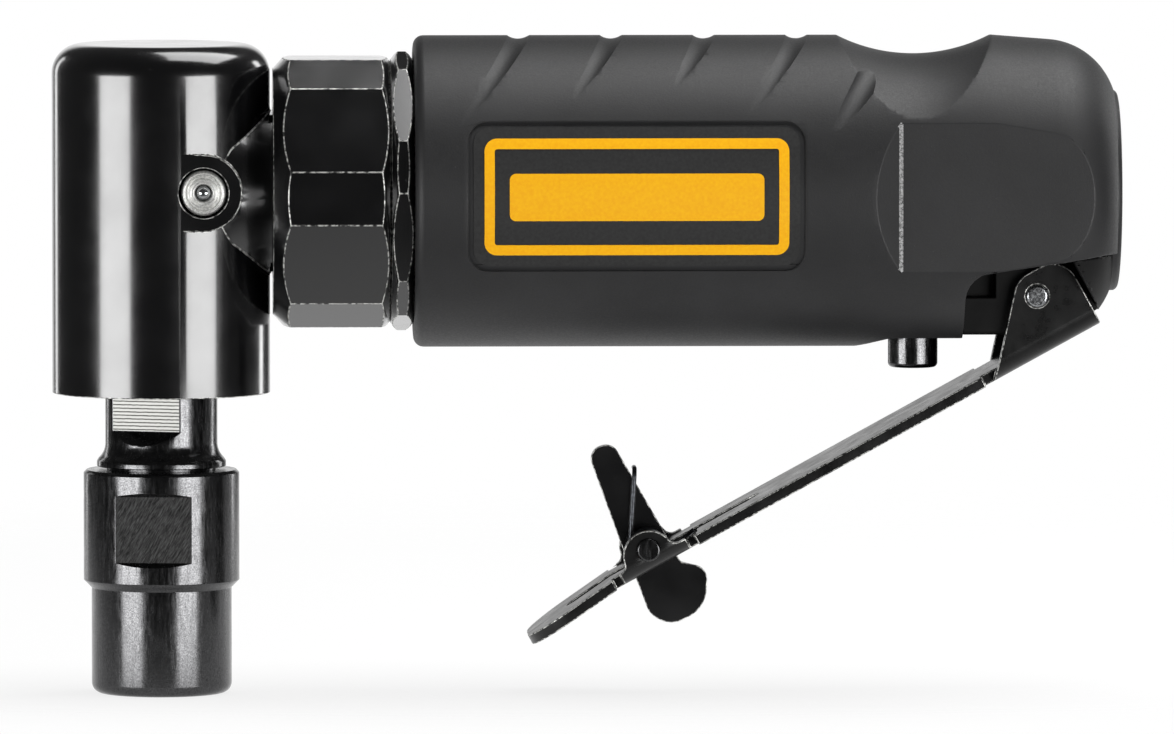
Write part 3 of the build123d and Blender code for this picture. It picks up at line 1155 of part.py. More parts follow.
def make_valve_spring():
    """Compression spring between the valve ball and the plug."""
    touch = sqrt((BALL_RADIUS + VALVE_WIRE / 2) ** 2 - VALVE_COIL_RADIUS ** 2)
    low = ball_height() + touch + 0.1
    high = PLUG_BOTTOM - VALVE_WIRE / 2 - 0.1
    pitch = (high - low) / (VALVE_TURNS - 0.25)
    edges = coil_edges(coil_points(360 * VALVE_TURNS, VALVE_COIL_RADIUS, pitch, 0))
    print("valve spring, least gap to itself:", round(least_gap(edges, VALVE_WIRE), 3), "mm")
    return Pos(PLUNGER_X, 0, MOTOR_Z + low) * wire_along(edges, VALVE_WIRE)


# Throttle lever and safety latch

def lever_outline(points):
    """Side view face of the lever from (s, n) points."""
    return outline_xz([lever_point(s, n) for s, n in points])


def across(face, half):
    """Side view face drawn out to both sides of the middle plane."""
    return extrude(face, half, dir=(0, 1, 0), both=True)


def round_corners(face, spots, radius):
    """Rounds the corners of a side view face that lie at the given (s, n) spots."""
    for spot in spots:
        x, z = lever_point(*spot)
        corner = face.vertices().sort_by_distance((x, 0, z))[0]
        face = fillet(corner, radius)
    return face


def lever_plan():
    """Flattened strip seen square on: tip rounding, ear reliefs, latch slot and spring window."""
    half = LEVER_WIDTH / 2
    length = LEVER_TIP + LEVER_REAR
    strip = Pos((LEVER_TIP - LEVER_REAR) / 2, 0) * Rectangle(length, LEVER_WIDTH)
    strip = fillet(strip.vertices().group_by(Axis.X)[-1], LEVER_TIP_ROUND)
    flange = LEVER_BEND_RADIUS
    ear_end = EAR_FRONT + EAR_RELIEF
    latch_relief = 2 * LATCH_EAR_HALF_LENGTH + 2 * EAR_RELIEF
    for side in (-1, 1):
        strip -= Pos((ear_end - LEVER_REAR) / 2, side * half) * Rectangle(ear_end + LEVER_REAR, 2 * flange)
        strip -= Pos(LATCH_PIN_S, side * half) * Rectangle(latch_relief, 2 * flange)
    strip -= Pos((SLOT_START + SLOT_END) / 2, 0) * SlotOverall(SLOT_END - SLOT_START, SLOT_WIDTH)
    tip_side = SPRING_COIL_RADIUS + SPRING_WIRE / 2 + FREE
    rear_side = SPRING_LEG + SPRING_WIRE
    near = SPRING_PITCH * (SPRING_TURNS - 1) + LATCH_SHEET + SPRING_WIRE
    far = SLOT_WIDTH / 2
    window = RectangleRounded(tip_side + rear_side, near + far, 0.8)
    return strip - Pos(LATCH_PIN_S + (tip_side - rear_side) / 2, (far - near) / 2) * window


def lever_channel(start, end):
    """Folded channel with rounded bends, along s from start to end."""
    x, z = lever_point(start, 0)
    slope = radians(LEVER_SLOPE)
    plane = Plane(origin=(x, 0, z), x_dir=(0, 1, 0), z_dir=(-cos(slope), 0, -sin(slope)))
    depth = LEVER_OFFSET + EAR_TOP + LEVER_SHEET + 2
    outer = Pos(0, LEVER_OFFSET + LEVER_SHEET - depth / 2) * Rectangle(LEVER_WIDTH, depth)
    outer = fillet(outer.vertices().group_by(Axis.Y)[-1], LEVER_BEND_RADIUS)
    inner = Pos(0, LEVER_OFFSET - depth / 2) * Rectangle(LEVER_WIDTH - 2 * LEVER_SHEET, depth)
    inner = fillet(inner.vertices().group_by(Axis.Y)[-1], LEVER_BEND_RADIUS - LEVER_SHEET)
    return extrude(plane * (outer - inner), end - start)


def lever_strip():
    """Strip with its bent tip, cut to the plan."""
    inner = LEVER_OFFSET
    outer = LEVER_OFFSET + LEVER_SHEET
    bend = LEVER_TIP - LEVER_TIP_BEND_LENGTH
    drop = LEVER_TIP_BEND_LENGTH * tan(radians(LEVER_TIP_BEND))
    side = lever_outline([(-LEVER_REAR, inner), (bend, inner), (LEVER_TIP, inner + drop),
                          (LEVER_TIP, outer + drop), (bend, outer), (-LEVER_REAR, outer)])
    x, z = lever_point(0, 0)
    slope = radians(LEVER_SLOPE)
    plane = Plane(origin=(x, 0, z), x_dir=(-cos(slope), 0, -sin(slope)), z_dir=(sin(slope), 0, -cos(slope)))
    plan = extrude(plane * lever_plan(), 3 * LEVER_OFFSET)
    return across(side, LEVER_WIDTH) & plan


def make_throttle_lever():
    """Pressed steel lever: strip, two pivot ears and two latch ears folded up from it."""
    base = LEVER_OFFSET + LEVER_SHEET
    ear = lever_outline([(-LEVER_REAR, base), (-LEVER_REAR, -EAR_TOP), (1.2, -EAR_TOP), (EAR_FRONT, base)])
    ear = round_corners(ear, [(-LEVER_REAR, -EAR_TOP), (1.2, -EAR_TOP)], EAR_ROUND)
    front = LATCH_PIN_S - LATCH_EAR_HALF_LENGTH
    back = LATCH_PIN_S + LATCH_EAR_HALF_LENGTH
    lever = lever_strip()
    lever += lever_channel(-LEVER_REAR, EAR_FRONT) & across(ear, LEVER_WIDTH)
    latch_channel = lever_channel(front, back) & latch_ears(front, back, base)
    lever += latch_channel - latch_window()
    lever -= rod_y(LEVER_PIN_X, LEVER_PIN_Z, -LEVER_WIDTH, LEVER_WIDTH, LEVER_PIN_RADIUS + RUN)
    x, z = lever_point(LATCH_PIN_S, LATCH_PIN_N)
    return lever - rod_y(x, z, -LEVER_WIDTH, LEVER_WIDTH, LATCH_PIN_RADIUS + SEAT)


def latch_ears(front, back, base):
    """Block with the side view of the latch ears: a round head on a flared foot."""
    shoulder = LEVER_OFFSET - LATCH_EAR_FOOT
    middle_s = LATCH_PIN_S + LATCH_EAR_SHIFT[0]
    middle_n = LATCH_PIN_N + LATCH_EAR_SHIFT[1]
    foot = lever_outline([(front, base), (front, shoulder), (back, shoulder), (back, base)])
    x, z = lever_point(middle_s, middle_n)
    block = across(foot, LEVER_WIDTH) + rod_y(x, z, -LEVER_WIDTH, LEVER_WIDTH, LATCH_EAR_ROUND)
    half = sqrt(LATCH_EAR_ROUND ** 2 - (middle_n - shoulder) ** 2)
    for s in (middle_s - half, middle_s + half):
        x, z = lever_point(s, shoulder)
        crease = block.edges().filter_by(Axis.Y).sort_by_distance((x, 0, z))[0]
        block = fillet(crease, LATCH_EAR_FLARE)
    return block


def latch_window():
    """Room for the latch and its spring through the channel between the latch ears."""
    half = LEVER_WIDTH / 2 - LEVER_BEND_RADIUS
    face = lever_outline([(SLOT_START, 0), (SLOT_END, 0), (SLOT_END, 3 * LEVER_OFFSET),
                          (SLOT_START, 3 * LEVER_OFFSET)])
    return across(face, half)


def make_safety_pin():
    x, z = lever_point(LATCH_PIN_S, LATCH_PIN_N)
    half = LEVER_WIDTH / 2
    pin = rod_y(x, z, -half, half, LATCH_PIN_RADIUS)
    for low in (-half - LATCH_PIN_HEAD, half):
        head = rod_y(x, z, low, low + LATCH_PIN_HEAD, LATCH_PIN_HEAD_RADIUS)
        pin += head
    return pin


def make_safety_latch():
    """Flat lock-off plate: arm that meets the handle and lobe for the finger."""
    centre = latch_centre()
    arm = LATCH_ARM_LENGTH

    def at(dx, dz):
        return (centre.X + dx, centre.Z + dz)

    tip_left = at(-0.54 * arm, 0.86 * arm)
    tip_right = at(-0.31 * arm, 0.93 * arm)
    rounds = [(tip_left, LATCH_TIP_ROUND), (tip_right, LATCH_TIP_ROUND)]
    rounds += [(at(*corner), radius) for corner, radius in LATCH_LOBE]
    plate = outline_xz([at(*LATCH_HEEL), tip_left, tip_right, at(*LATCH_SHOULDER), at(*LATCH_ELBOW)]
                       + [at(*corner) for corner, _ in LATCH_LOBE] + [at(*LATCH_THROAT)])
    for (x, z), radius in rounds:
        corner = plate.vertices().sort_by_distance((x, 0, z))[0]
        plate = fillet(corner, radius)
    plate = extrude(plate, LATCH_SHEET / 2, dir=(0, 1, 0), both=True)
    return plate - rod_y(centre.X, centre.Z, -LATCH_SHEET, LATCH_SHEET, LATCH_PIN_RADIUS + RUN)


# Air inlet and exhaust

def make_inlet_bushing():
    """Threaded steel bushing for the air fitting."""
    outer = INLET_RADIUS - SEAT
    body = ring_x(INLET_X + SEAT, INLET_END - INLET_X - SEAT, outer, INLET_PASSAGE_RADIUS)
    rim = body.edges().filter_by(GeomType.CIRCLE).group_by(Axis.X)[-1].sort_by(SortBy.RADIUS)[-1]
    body = chamfer(rim, 0.4)
    body -= rod_x(INLET_END - INLET_THREAD_LENGTH, INLET_END + 1, INLET_THREAD_RADIUS)
    body -= rod_x(screen_x() - SEAT, INLET_END, SCREEN_RADIUS)
    groove = inlet_ring_x()
    half = INLET_RING_SECTION + SEAT
    return body - ring_x(groove - half, 2 * half, INLET_RADIUS + 1, INLET_RADIUS - 2 * INLET_RING_SECTION)


def inlet_ring_x():
    return INLET_X + 4 * INLET_RING_SECTION


def make_inlet_oring():
    plane = Plane(origin=(inlet_ring_x(), 0, MOTOR_Z), z_dir=(1, 0, 0))
    return oring(plane, INLET_RADIUS - INLET_RING_SECTION, INLET_RING_SECTION - SEAT)


def screen_x():
    return INLET_END - INLET_THREAD_LENGTH - SCREEN - SEAT


def make_inlet_screen():
    """Perforated disc in a seat below the inlet thread."""
    x = screen_x()
    disc = rod_x(x, x + SCREEN, SCREEN_RADIUS - SEAT)
    for index in range(7):
        reach = 0 if index == 6 else 0.6 * SCREEN_RADIUS
        hole = Pos(x, 0, 0) * Rot(0, 90, 0) * Cylinder(SCREEN_HOLE_RADIUS, 4 * SCREEN)
        disc -= Pos(0, 0, MOTOR_Z) * Rot(60 * index, 0, 0) * Pos(0, 0, reach) * hole
    return disc


def make_exhaust_muffler():
    return ring_x(MUFFLER_X, MUFFLER, EXHAUST_COVER_RADIUS - 0.2, INLET_RADIUS + SEAT)


def make_exhaust_cover():
    """Slotted ring round the inlet; the slots are in the upper half, away from the hand."""
    cover = ring_x(COVER_X, EXHAUST_COVER, EXHAUST_COVER_RADIUS, INLET_RADIUS + SEAT)
    rim = cover.edges().filter_by(GeomType.CIRCLE).group_by(Axis.X)[-1].sort_by(SortBy.RADIUS)[-1]
    cover = chamfer(rim, 0.4)
    middle = (EXHAUST_COVER_RADIUS + INLET_RADIUS) / 2
    slot = Box(4 * EXHAUST_COVER, EXHAUST_SLOT_WIDTH, 0.6 * (EXHAUST_COVER_RADIUS - INLET_RADIUS))
    for index in range(EXHAUST_SLOTS):
        turn = (index - (EXHAUST_SLOTS - 1) / 2) * 24
        cover -= Pos(COVER_X, 0, MOTOR_Z) * Rot(turn, 0, 0) * Pos(0, 0, middle) * slot
    return cover


NODES = {
    "angle_head": make_angle_head,
    "grease_fitting": make_grease_fitting,
    "grease_ball": make_grease_ball,
    "bearing_retainer": make_bearing_retainer,
    "spindle_lower_bearing": make_lower_bearing,
    "spindle_upper_bearing": make_upper_bearing,
    "pinion_front_bearing": make_pinion_front_bearing,
    "pinion_rear_bearing": make_pinion_rear_bearing,
    "pinion_bearing_spacer": make_bearing_spacer,
    "neck_ring": make_neck_ring,
    "coupling_nut": make_coupling_nut,
    "clamp_nut": make_clamp_nut,
    "motor_housing": make_motor_housing,
    "grip_sleeve": make_grip_sleeve,
    "front_end_plate": make_front_end_plate,
    "rotor_front_bearing": make_rotor_front_bearing,
    "cylinder": make_cylinder,
    "cylinder_dowel": make_cylinder_dowel,
    "rear_end_plate": make_rear_end_plate,
    "rotor_rear_bearing": make_rotor_rear_bearing,
    "motor_gasket": make_motor_gasket,
    "throttle_bushing": make_throttle_bushing,
    "valve_seat": make_valve_seat,
    "valve_plug": make_valve_plug,
    "air_inlet_bushing": make_inlet_bushing,
    "inlet_oring": make_inlet_oring,
    "inlet_screen": make_inlet_screen,
    "exhaust_muffler": make_exhaust_muffler,
    "exhaust_cover": make_exhaust_cover,
    "lever_pin": make_lever_pin,
    "spindle": make_spindle,
    "bevel_gear": make_bevel_gear,
    "gear_key": make_gear_key,
    "gear_ring": make_gear_ring,
    "collet": make_collet,
    "collet_nut": make_collet_nut,
    "rotor": make_rotor,
    "rotor_blades": make_rotor_blades,
    "bevel_pinion": make_bevel_pinion,
    "pinion_snap_ring": make_pinion_snap_ring,
    "throttle_lever": make_throttle_lever,
    "safety_pin": make_safety_pin,
    "safety_spring": make_safety_spring,
    "safety_latch": make_safety_latch,
    "throttle_plunger": make_throttle_plunger,
    "plunger_oring": make_plunger_oring,
    "valve_ball": make_valve_ball,
    "valve_spring": make_valve_spring,
}

os.makedirs("parts", exist_ok=True)
for name, make in NODES.items():
    export_step(make(), os.path.join("parts", name + ".step"))
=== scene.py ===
# Right-angle air die grinder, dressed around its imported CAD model. Metres, +Z up the spindle,
# +X back along the motor, and the near side with the grease fitting is -Y.

import bpy
from math import cos, pi, radians, sin, sqrt, tan
from mathutils import Matrix, Vector


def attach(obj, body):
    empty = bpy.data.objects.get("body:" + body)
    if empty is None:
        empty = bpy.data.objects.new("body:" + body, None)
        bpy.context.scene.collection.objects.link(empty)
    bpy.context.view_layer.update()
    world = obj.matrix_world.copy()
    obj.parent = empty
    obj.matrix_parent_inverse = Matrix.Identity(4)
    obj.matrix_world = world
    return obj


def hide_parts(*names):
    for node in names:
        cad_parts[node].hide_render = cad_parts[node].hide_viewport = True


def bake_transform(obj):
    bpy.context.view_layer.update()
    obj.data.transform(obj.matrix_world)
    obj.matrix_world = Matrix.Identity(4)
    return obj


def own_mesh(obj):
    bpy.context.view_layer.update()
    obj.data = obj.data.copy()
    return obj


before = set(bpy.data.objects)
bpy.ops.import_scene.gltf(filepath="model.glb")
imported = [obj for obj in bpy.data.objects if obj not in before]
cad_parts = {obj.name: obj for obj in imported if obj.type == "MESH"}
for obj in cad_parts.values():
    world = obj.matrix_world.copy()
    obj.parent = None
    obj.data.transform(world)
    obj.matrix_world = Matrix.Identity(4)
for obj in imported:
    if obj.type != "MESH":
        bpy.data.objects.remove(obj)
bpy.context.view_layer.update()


# Vane motor and gear train: rotor, cylinder, end plates, gears and ball bearings, turned and ground
# from steel and cast iron. They are stacked into the housing and the head under a film of oil and
# closed in, so they stay plain machined metal.
MM = 0.001


def linear(hex_colour):
    """Linear RGBA of an sRGB hex colour."""
    parts = [int(hex_colour[i:i + 2], 16) / 255 for i in (1, 3, 5)]
    return [c / 12.92 if c <= 0.04045 else ((c + 0.055) / 1.055) ** 2.4 for c in parts] + [1.0]


def add_node(material, kind, links=None, values=None, stops=(), **settings):
    """Adds a shader node with its settings, its socket values, its colour stops and its incoming links."""
    made = material.node_tree.nodes.new(kind)
    for name, value in settings.items():
        setattr(made, name, value)
    for socket, value in (values or {}).items():
        made.inputs[socket].default_value = value
    for index, (position, colour) in enumerate(stops):
        made.color_ramp.elements[index].position = position
        made.color_ramp.elements[index].color = linear(colour)
    for socket, (source, output) in (links or {}).items():
        material.node_tree.links.new(source.outputs[output], made.inputs[socket])
    return made


def new_finish(name, values):
    """A material with its shader's plain values set, its shader and its Object coordinates."""
    material = bpy.data.materials.new(name)
    material.use_nodes = True
    shader = material.node_tree.nodes["Principled BSDF"]
    for socket, value in values.items():
        shader.inputs[socket].default_value = value
    return material, shader, add_node(material, "ShaderNodeTexCoord")


def wire_shader(material, shader, links):
    """Links node outputs to the shader's own sockets."""
    for socket, (source, output) in links.items():
        material.node_tree.links.new(source.outputs[output], shader.inputs[socket])


def paint_nodes(material, names):
    """Gives CAD nodes a finish in place of their plain one."""
    for name in names:
        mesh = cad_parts[name].data
        mesh.materials.clear()
        mesh.materials.append(material)


# Machined metals: even grey or yellow metal, clouded by oil, with the grain left by the tool.
# Each row: name, darker and lighter tone, smoothest and roughest gloss, grain in millimetres, pieces.
MACHINED = (
    ("Ground_tool_steel", "#84878B", "#AEB1B4", 0.20, 0.36, 0.25,
     ("rotor", "cylinder_dowel", "pinion_bearing_spacer", "neck_ring", "pinion_snap_ring", "gear_ring",
      "gear_key")),
    ("Polished_bearing_steel", "#A9ACAF", "#CDCFD1", 0.10, 0.22, 0.4,
     ("spindle_lower_bearing", "spindle_upper_bearing", "pinion_front_bearing", "pinion_rear_bearing",
      "rotor_front_bearing", "rotor_rear_bearing", "valve_ball", "grease_ball")),
    ("Hardened_gear_steel", "#5E5E60", "#83817E", 0.26, 0.42, 0.3, ("bevel_pinion", "bevel_gear")),
    ("Grey_cast_iron", "#57585A", "#787A7C", 0.38, 0.58, 0.5,
     ("front_end_plate", "rear_end_plate", "cylinder")),
    ("Turned_brass", "#A07C3A", "#C6A258", 0.20, 0.34, 0.2, ("throttle_bushing", "valve_seat", "valve_plug")),
)
for name, dark, light, smooth, rough, grain_mm, pieces in MACHINED:
    metal, shader, place = new_finish(name, {"Metallic": 1.0})
    oil = add_node(metal, "ShaderNodeTexNoise", {"Vector": (place, "Object")},
                   {"Scale": 1 / (5 * MM), "Detail": 4.0})
    tool = add_node(metal, "ShaderNodeTexNoise", {"Vector": (place, "Object")},
                    {"Scale": 1 / (grain_mm * MM), "Detail": 2.0})
    gloss = add_node(metal, "ShaderNodeMapRange", {"Value": (tool, "Fac")},
                     {"From Min": 0.3, "From Max": 0.7, "To Min": smooth, "To Max": rough})
    bump = add_node(metal, "ShaderNodeBump", {"Height": (tool, "Fac")},
                    {"Strength": 0.2, "Distance": 0.01 * MM})
    tones = add_node(metal, "ShaderNodeValToRGB", {"Fac": (oil, 0)},
                     stops=((0.3, dark), (0.7, light)))
    wire_shader(metal, shader, {"Base Color": (tones, "Color"), "Roughness": (gloss, "Result"),
                                "Normal": (bump, "Normal")})
    paint_nodes(metal, pieces)


# Rotor blades, gasket, O-rings and muffler: phenolic cloth laminate, nitrile rubber and pressed felt.
# They are cut or moulded and laid in place dry, so all of them are matt.

# Each row: name, darker and lighter tone, roughness, pattern in millimetres, bump strength, pieces.
MATT = (
    ("Phenolic_cloth_laminate", "#4A2E1A", "#6E4527", 0.55, 0.4, 0.15, ("rotor_blades",)),
    ("Nitrile_rubber", "#161616", "#242424", 0.6, 0.3, 0.1, ("motor_gasket", "plunger_oring", "inlet_oring")),
    ("Pressed_felt", "#6A675F", "#8C887E", 0.95, 0.25, 0.6, ("exhaust_muffler",)),
)
for name, dark, light, rough, grain_mm, strength, pieces in MATT:
    matt, shader, place = new_finish(name, {"Roughness": rough})
    fibre = add_node(matt, "ShaderNodeTexNoise", {"Vector": (place, "Object")},
                     {"Scale": 1 / (grain_mm * MM), "Detail": 5.0, "Roughness": 0.65})
    bump = add_node(matt, "ShaderNodeBump", {"Height": (fibre, "Fac")},
                    {"Strength": strength, "Distance": 0.05 * MM})
    tones = add_node(matt, "ShaderNodeValToRGB", {"Fac": (fibre, 0)},
                     stops=((0.3, dark), (0.7, light)))
    wire_shader(matt, shader, {"Base Color": (tones, "Color"), "Normal": (bump, "Normal")})
    paint_nodes(matt, pieces)


# Motor housing: aluminium die casting, bored for the motor and drilled for the air, painted black.
# The grip sleeve covers it, and only its lever lug and rear wall show in the pocket.

def merged_copy(node, finishes):
    """Copy of a CAD node with its points merged and its flat faces joined, selected and active."""
    piece = bpy.data.objects.new(node + "_finished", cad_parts[node].data.copy())
    bpy.context.scene.collection.objects.link(piece)
    bpy.ops.object.select_all(action="DESELECT")
    piece.select_set(True)
    bpy.context.view_layer.objects.active = piece
    piece.data.materials.clear()
    for finish in finishes:
        piece.data.materials.append(finish)
    bpy.ops.object.mode_set(mode="EDIT")
    bpy.ops.mesh.select_all(action="SELECT")
    bpy.ops.mesh.remove_doubles(threshold=0.002 * MM)
    bpy.ops.mesh.dissolve_limited(angle_limit=radians(0.2))
    bpy.ops.object.mode_set(mode="OBJECT")
    return piece


def break_edges(piece, edge_mm, soft, steps):
    """Rounds off the edges that turn by more than an angle, or those that carry a weight where a mesh
    has weights. A second finish lies along them."""
    bevel = piece.modifiers.new("Broken_edges", "BEVEL")
    bevel.width = edge_mm * MM
    bevel.segments = steps
    bevel.limit_method = "ANGLE"
    bevel.angle_limit = radians(soft)
    bevel.use_clamp_overlap = False
    if "bevel_weight_edge" in piece.data.attributes:
        bevel.limit_method = "WEIGHT"
    bevel.material = 1 if len(piece.data.materials) > 1 else -1
    bpy.ops.object.modifier_apply(modifier=bevel.name)


def smooth_rounds(piece, soft):
    """Shades edges that turn by less than an angle as round, with the flat faces kept level."""
    bpy.ops.object.shade_smooth_by_angle(angle=radians(soft))
    level = piece.modifiers.new("Level_faces", "WEIGHTED_NORMAL")
    level.keep_sharp = True
    bpy.ops.object.modifier_apply(modifier=level.name)


def finished_copy(node, body, finishes, edge_mm, soft, steps=2):
    """Merged copy of a CAD node with broken edges, which takes its place on its body."""
    piece = merged_copy(node, finishes)
    break_edges(piece, edge_mm, soft, steps)
    smooth_rounds(piece, soft)
    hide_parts(node)
    if body:
        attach(piece, body)
    return piece


# Gloss black baked enamel: deep black with a soft-edged shine, a slight orange peel of about 1.2 mm,
# a haze where it was handled and a few specks of dust.
enamel, shader, place = new_finish("Gloss_black_baked_enamel",
                                   {"IOR": 1.6, "Coat Weight": 0.8, "Coat Roughness": 0.12})
dust = add_node(enamel, "ShaderNodeTexNoise", {"Vector": (place, "Object")},
                {"Scale": 1 / (0.45 * MM), "Detail": 2.0})
tones = add_node(enamel, "ShaderNodeValToRGB", {"Fac": (dust, 0)},
                 stops=((0.74, "#060607"), (0.8, "#2E2E2E")))
haze = add_node(enamel, "ShaderNodeTexNoise", {"Vector": (place, "Object")},
                {"Scale": 1 / (6 * MM), "Detail": 5.0})
gloss = add_node(enamel, "ShaderNodeMapRange", {"Value": (haze, "Fac")},
                 {"From Min": 0.3, "From Max": 0.7, "To Min": 0.16, "To Max": 0.26})
peel = add_node(enamel, "ShaderNodeTexNoise", {"Vector": (place, "Object")},
                {"Scale": 1 / (1.2 * MM), "Detail": 1.0})
bump = add_node(enamel, "ShaderNodeBump", {"Height": (peel, "Fac")},
                {"Strength": 0.1, "Distance": 0.01 * MM})
wire_shader(enamel, shader, {"Base Color": (tones, "Color"), "Roughness": (gloss, "Result"),
                             "Normal": (bump, "Normal")})

# The same enamel along the broken edges: rubbed through to bare steel in broken lines, which are also painted
# pale as the edges' highlights.
rubbed_enamel_and_edge_highlight, shader, place = new_finish("Enamel_rubbed_to_steel_and_painted_edge_highlight", {"IOR": 1.6, "Roughness": 0.4})
rubs_and_highlight_noise = add_node(rubbed_enamel_and_edge_highlight, "ShaderNodeTexNoise", {"Vector": (place, "Object")},
                  {"Scale": 1 / (0.5 * MM), "Detail": 4.0, "Roughness": 0.6})
bare_steel_and_highlight = add_node(rubbed_enamel_and_edge_highlight, "ShaderNodeMapRange", {"Value": (rubs_and_highlight_noise, "Fac")},
                {"From Min": 0.42, "From Max": 0.58})
# Pale tone along the edges: partly bare steel, partly a painted highlight.
tones = add_node(rubbed_enamel_and_edge_highlight, "ShaderNodeValToRGB", {"Fac": (bare_steel_and_highlight, 0)},
                 stops=((0.0, "#0A0A0A"), (1.0, "#D2D2CE")))
metal = add_node(rubbed_enamel_and_edge_highlight, "ShaderNodeMath", {0: (bare_steel_and_highlight, "Result")}, {1: 0.5}, operation="MULTIPLY")
wire_shader(rubbed_enamel_and_edge_highlight, shader, {"Base Color": (tones, "Color"), "Metallic": (metal, "Value")})

# Matt black stove paint on the housing, thin and dull, which keeps the lever's pocket dark.
stove_paint, shader, place = new_finish("Matt_black_stove_paint", {"IOR": 1.3, "Roughness": 0.6})
patchy = add_node(stove_paint, "ShaderNodeTexNoise", {"Vector": (place, "Object")},
                  {"Scale": 1 / (1.5 * MM), "Detail": 4.0})
tones = add_node(stove_paint, "ShaderNodeValToRGB", {"Fac": (patchy, 0)},
                 stops=((0.3, "#040404"), (0.7, "#0A0A0A")))
bump = add_node(stove_paint, "ShaderNodeBump", {"Height": (patchy, "Fac")},
                {"Strength": 0.15, "Distance": 0.03 * MM})
wire_shader(stove_paint, shader, {"Base Color": (tones, "Color"), "Normal": (bump, "Normal")})

finished_copy("motor_housing", "housing", [stove_paint], 0.2, 40)


# Grip sleeve: one thick moulding in black thermoplastic, slid over the housing from the rear. Thumb
# scoop, slanted finger grooves, side flats and the seat for the label are moulded in.

# Moulded thermoplastic from a spark-eroded mould: dull dark grey, faintly clouded, with a fine grain whose
# peaks are painted as pale specks, which stand for glints. The real grain of 0.1 mm is drawn at 0.25 mm.
grip_plastic, shader, place = new_finish("Spark_eroded_moulded_plastic", {"IOR": 1.5})
cloud = add_node(grip_plastic, "ShaderNodeTexNoise", {"Vector": (place, "Object")},
                 {"Scale": 1 / (9 * MM), "Detail": 3.0})
tones = add_node(grip_plastic, "ShaderNodeValToRGB", {"Fac": (cloud, 0)},
                 stops=((0.3, "#1A1A1B"), (0.7, "#232324")))
grain = add_node(grip_plastic, "ShaderNodeTexNoise", {"Vector": (place, "Object")},
                 {"Scale": 1 / (0.25 * MM), "Detail": 3.0, "Roughness": 0.6})
# Pale specks on the grain's peaks: painted glints.
painted_glints = add_node(grip_plastic, "ShaderNodeValToRGB", {"Fac": (grain, 0)},
                 stops=((0.68, "#000000"), (0.8, "#3C3C3C")))
clouds_and_glints = add_node(grip_plastic, "ShaderNodeMix", {6: (tones, "Color"), 7: (painted_glints, "Color")},
                  {0: 1.0}, data_type="RGBA", blend_type="ADD")
gloss = add_node(grip_plastic, "ShaderNodeMapRange", {"Value": (grain, "Fac")},
                 {"From Min": 0.3, "From Max": 0.7, "To Min": 0.46, "To Max": 0.62})
bump = add_node(grip_plastic, "ShaderNodeBump", {"Height": (grain, "Fac")},
                {"Strength": 0.35, "Distance": 0.04 * MM})
wire_shader(grip_plastic, shader, {"Base Color": (clouds_and_glints, 2), "Roughness": (gloss, "Result"),
                                   "Normal": (bump, "Normal")})

# The same plastic scuffed along an edge: paler, with its grain rubbed bright, and also painted pale as the
# edge's highlight.
scuffed_plastic_and_highlight, shader, place = new_finish("Scuffed_moulded_plastic_and_painted_highlight", {"IOR": 1.5, "Roughness": 0.5})
scuff_and_highlight = add_node(scuffed_plastic_and_highlight, "ShaderNodeTexNoise", {"Vector": (place, "Object")},
                 {"Scale": 1 / (0.3 * MM), "Detail": 4.0, "Roughness": 0.7})
tones = add_node(scuffed_plastic_and_highlight, "ShaderNodeValToRGB", {"Fac": (scuff_and_highlight, 0)},
                 stops=((0.38, "#3A3A3A"), (0.62, "#B4B4B4")))
bump = add_node(scuffed_plastic_and_highlight, "ShaderNodeBump", {"Height": (scuff_and_highlight, "Fac")},
                {"Strength": 0.4, "Distance": 0.04 * MM})
wire_shader(scuffed_plastic_and_highlight, shader, {"Base Color": (tones, "Color"), "Normal": (bump, "Normal")})

# Sizes in millimetres. EDGE_TURN is in degrees, and DULL_EDGE is a share of SLEEVE_EDGE.
MOTOR_AXIS_Z = 64.5
SLEEVE_FRONT_X = 32.35
SLEEVE_RADIUS = 20.0
SLEEVE_EDGE = 0.3
EDGE_TURN = 22
DULL_EDGE = 0.4
SMALLEST_STEP = 0.06
FRONT_ROUND = 1.3
TAIL_LEAD = (106.5, 20.0)
TAIL_ROUND_MIDDLE = (113.37, 10.03)
TAIL_ROUND = 9.4
BORE_RADIUS = 16.9
BORE_END_X = 118.5
MOUTH_RADIUS = 12.95
SCOOP_MIDDLE_X = 96.6
SCOOP_HALF_LENGTH = 11.6
SCOOP_AXIS_Z = MOTOR_AXIS_Z - 5.9
SCOOP_WAIST = 23.5
SCOOP_ARC = 21.6
SCOOP_STEPS = 24
SCOOP_FLOOR_Z = MOTOR_AXIS_Z + 3.3
SCOOP_TRIM = 0.05
SCOOP_BLOCK_HALF_WIDTH = 30
FLAT_FRONT_X = 94.2
FLAT_HALF_WIDTH = 17.6
FLAT_RAMP_LENGTH = 6.4
FLAT_RAMP_RISE = 4.8
# Strip of scuff and painted highlight along the front edge of each side flat.
SCUFF_AND_HIGHLIGHT_HALF_WIDTH = 0.4
SCUFF_AND_HIGHLIGHT_HALF_HEIGHT = 10.5
SCUFF_AND_HIGHLIGHT_FROM_Y = 17
# Corners of the relief under the belly, round the plunger: x and z.
BELLY = ((93.4, 45.9), (105.4, 45.9), (105.4, 43.1), (84.0, 43.1))
PLUNGER_X = 96.6
PLUNGER_HOLE_RADIUS = 3.5
PLUNGER_HOLE_Z = (40, 50)
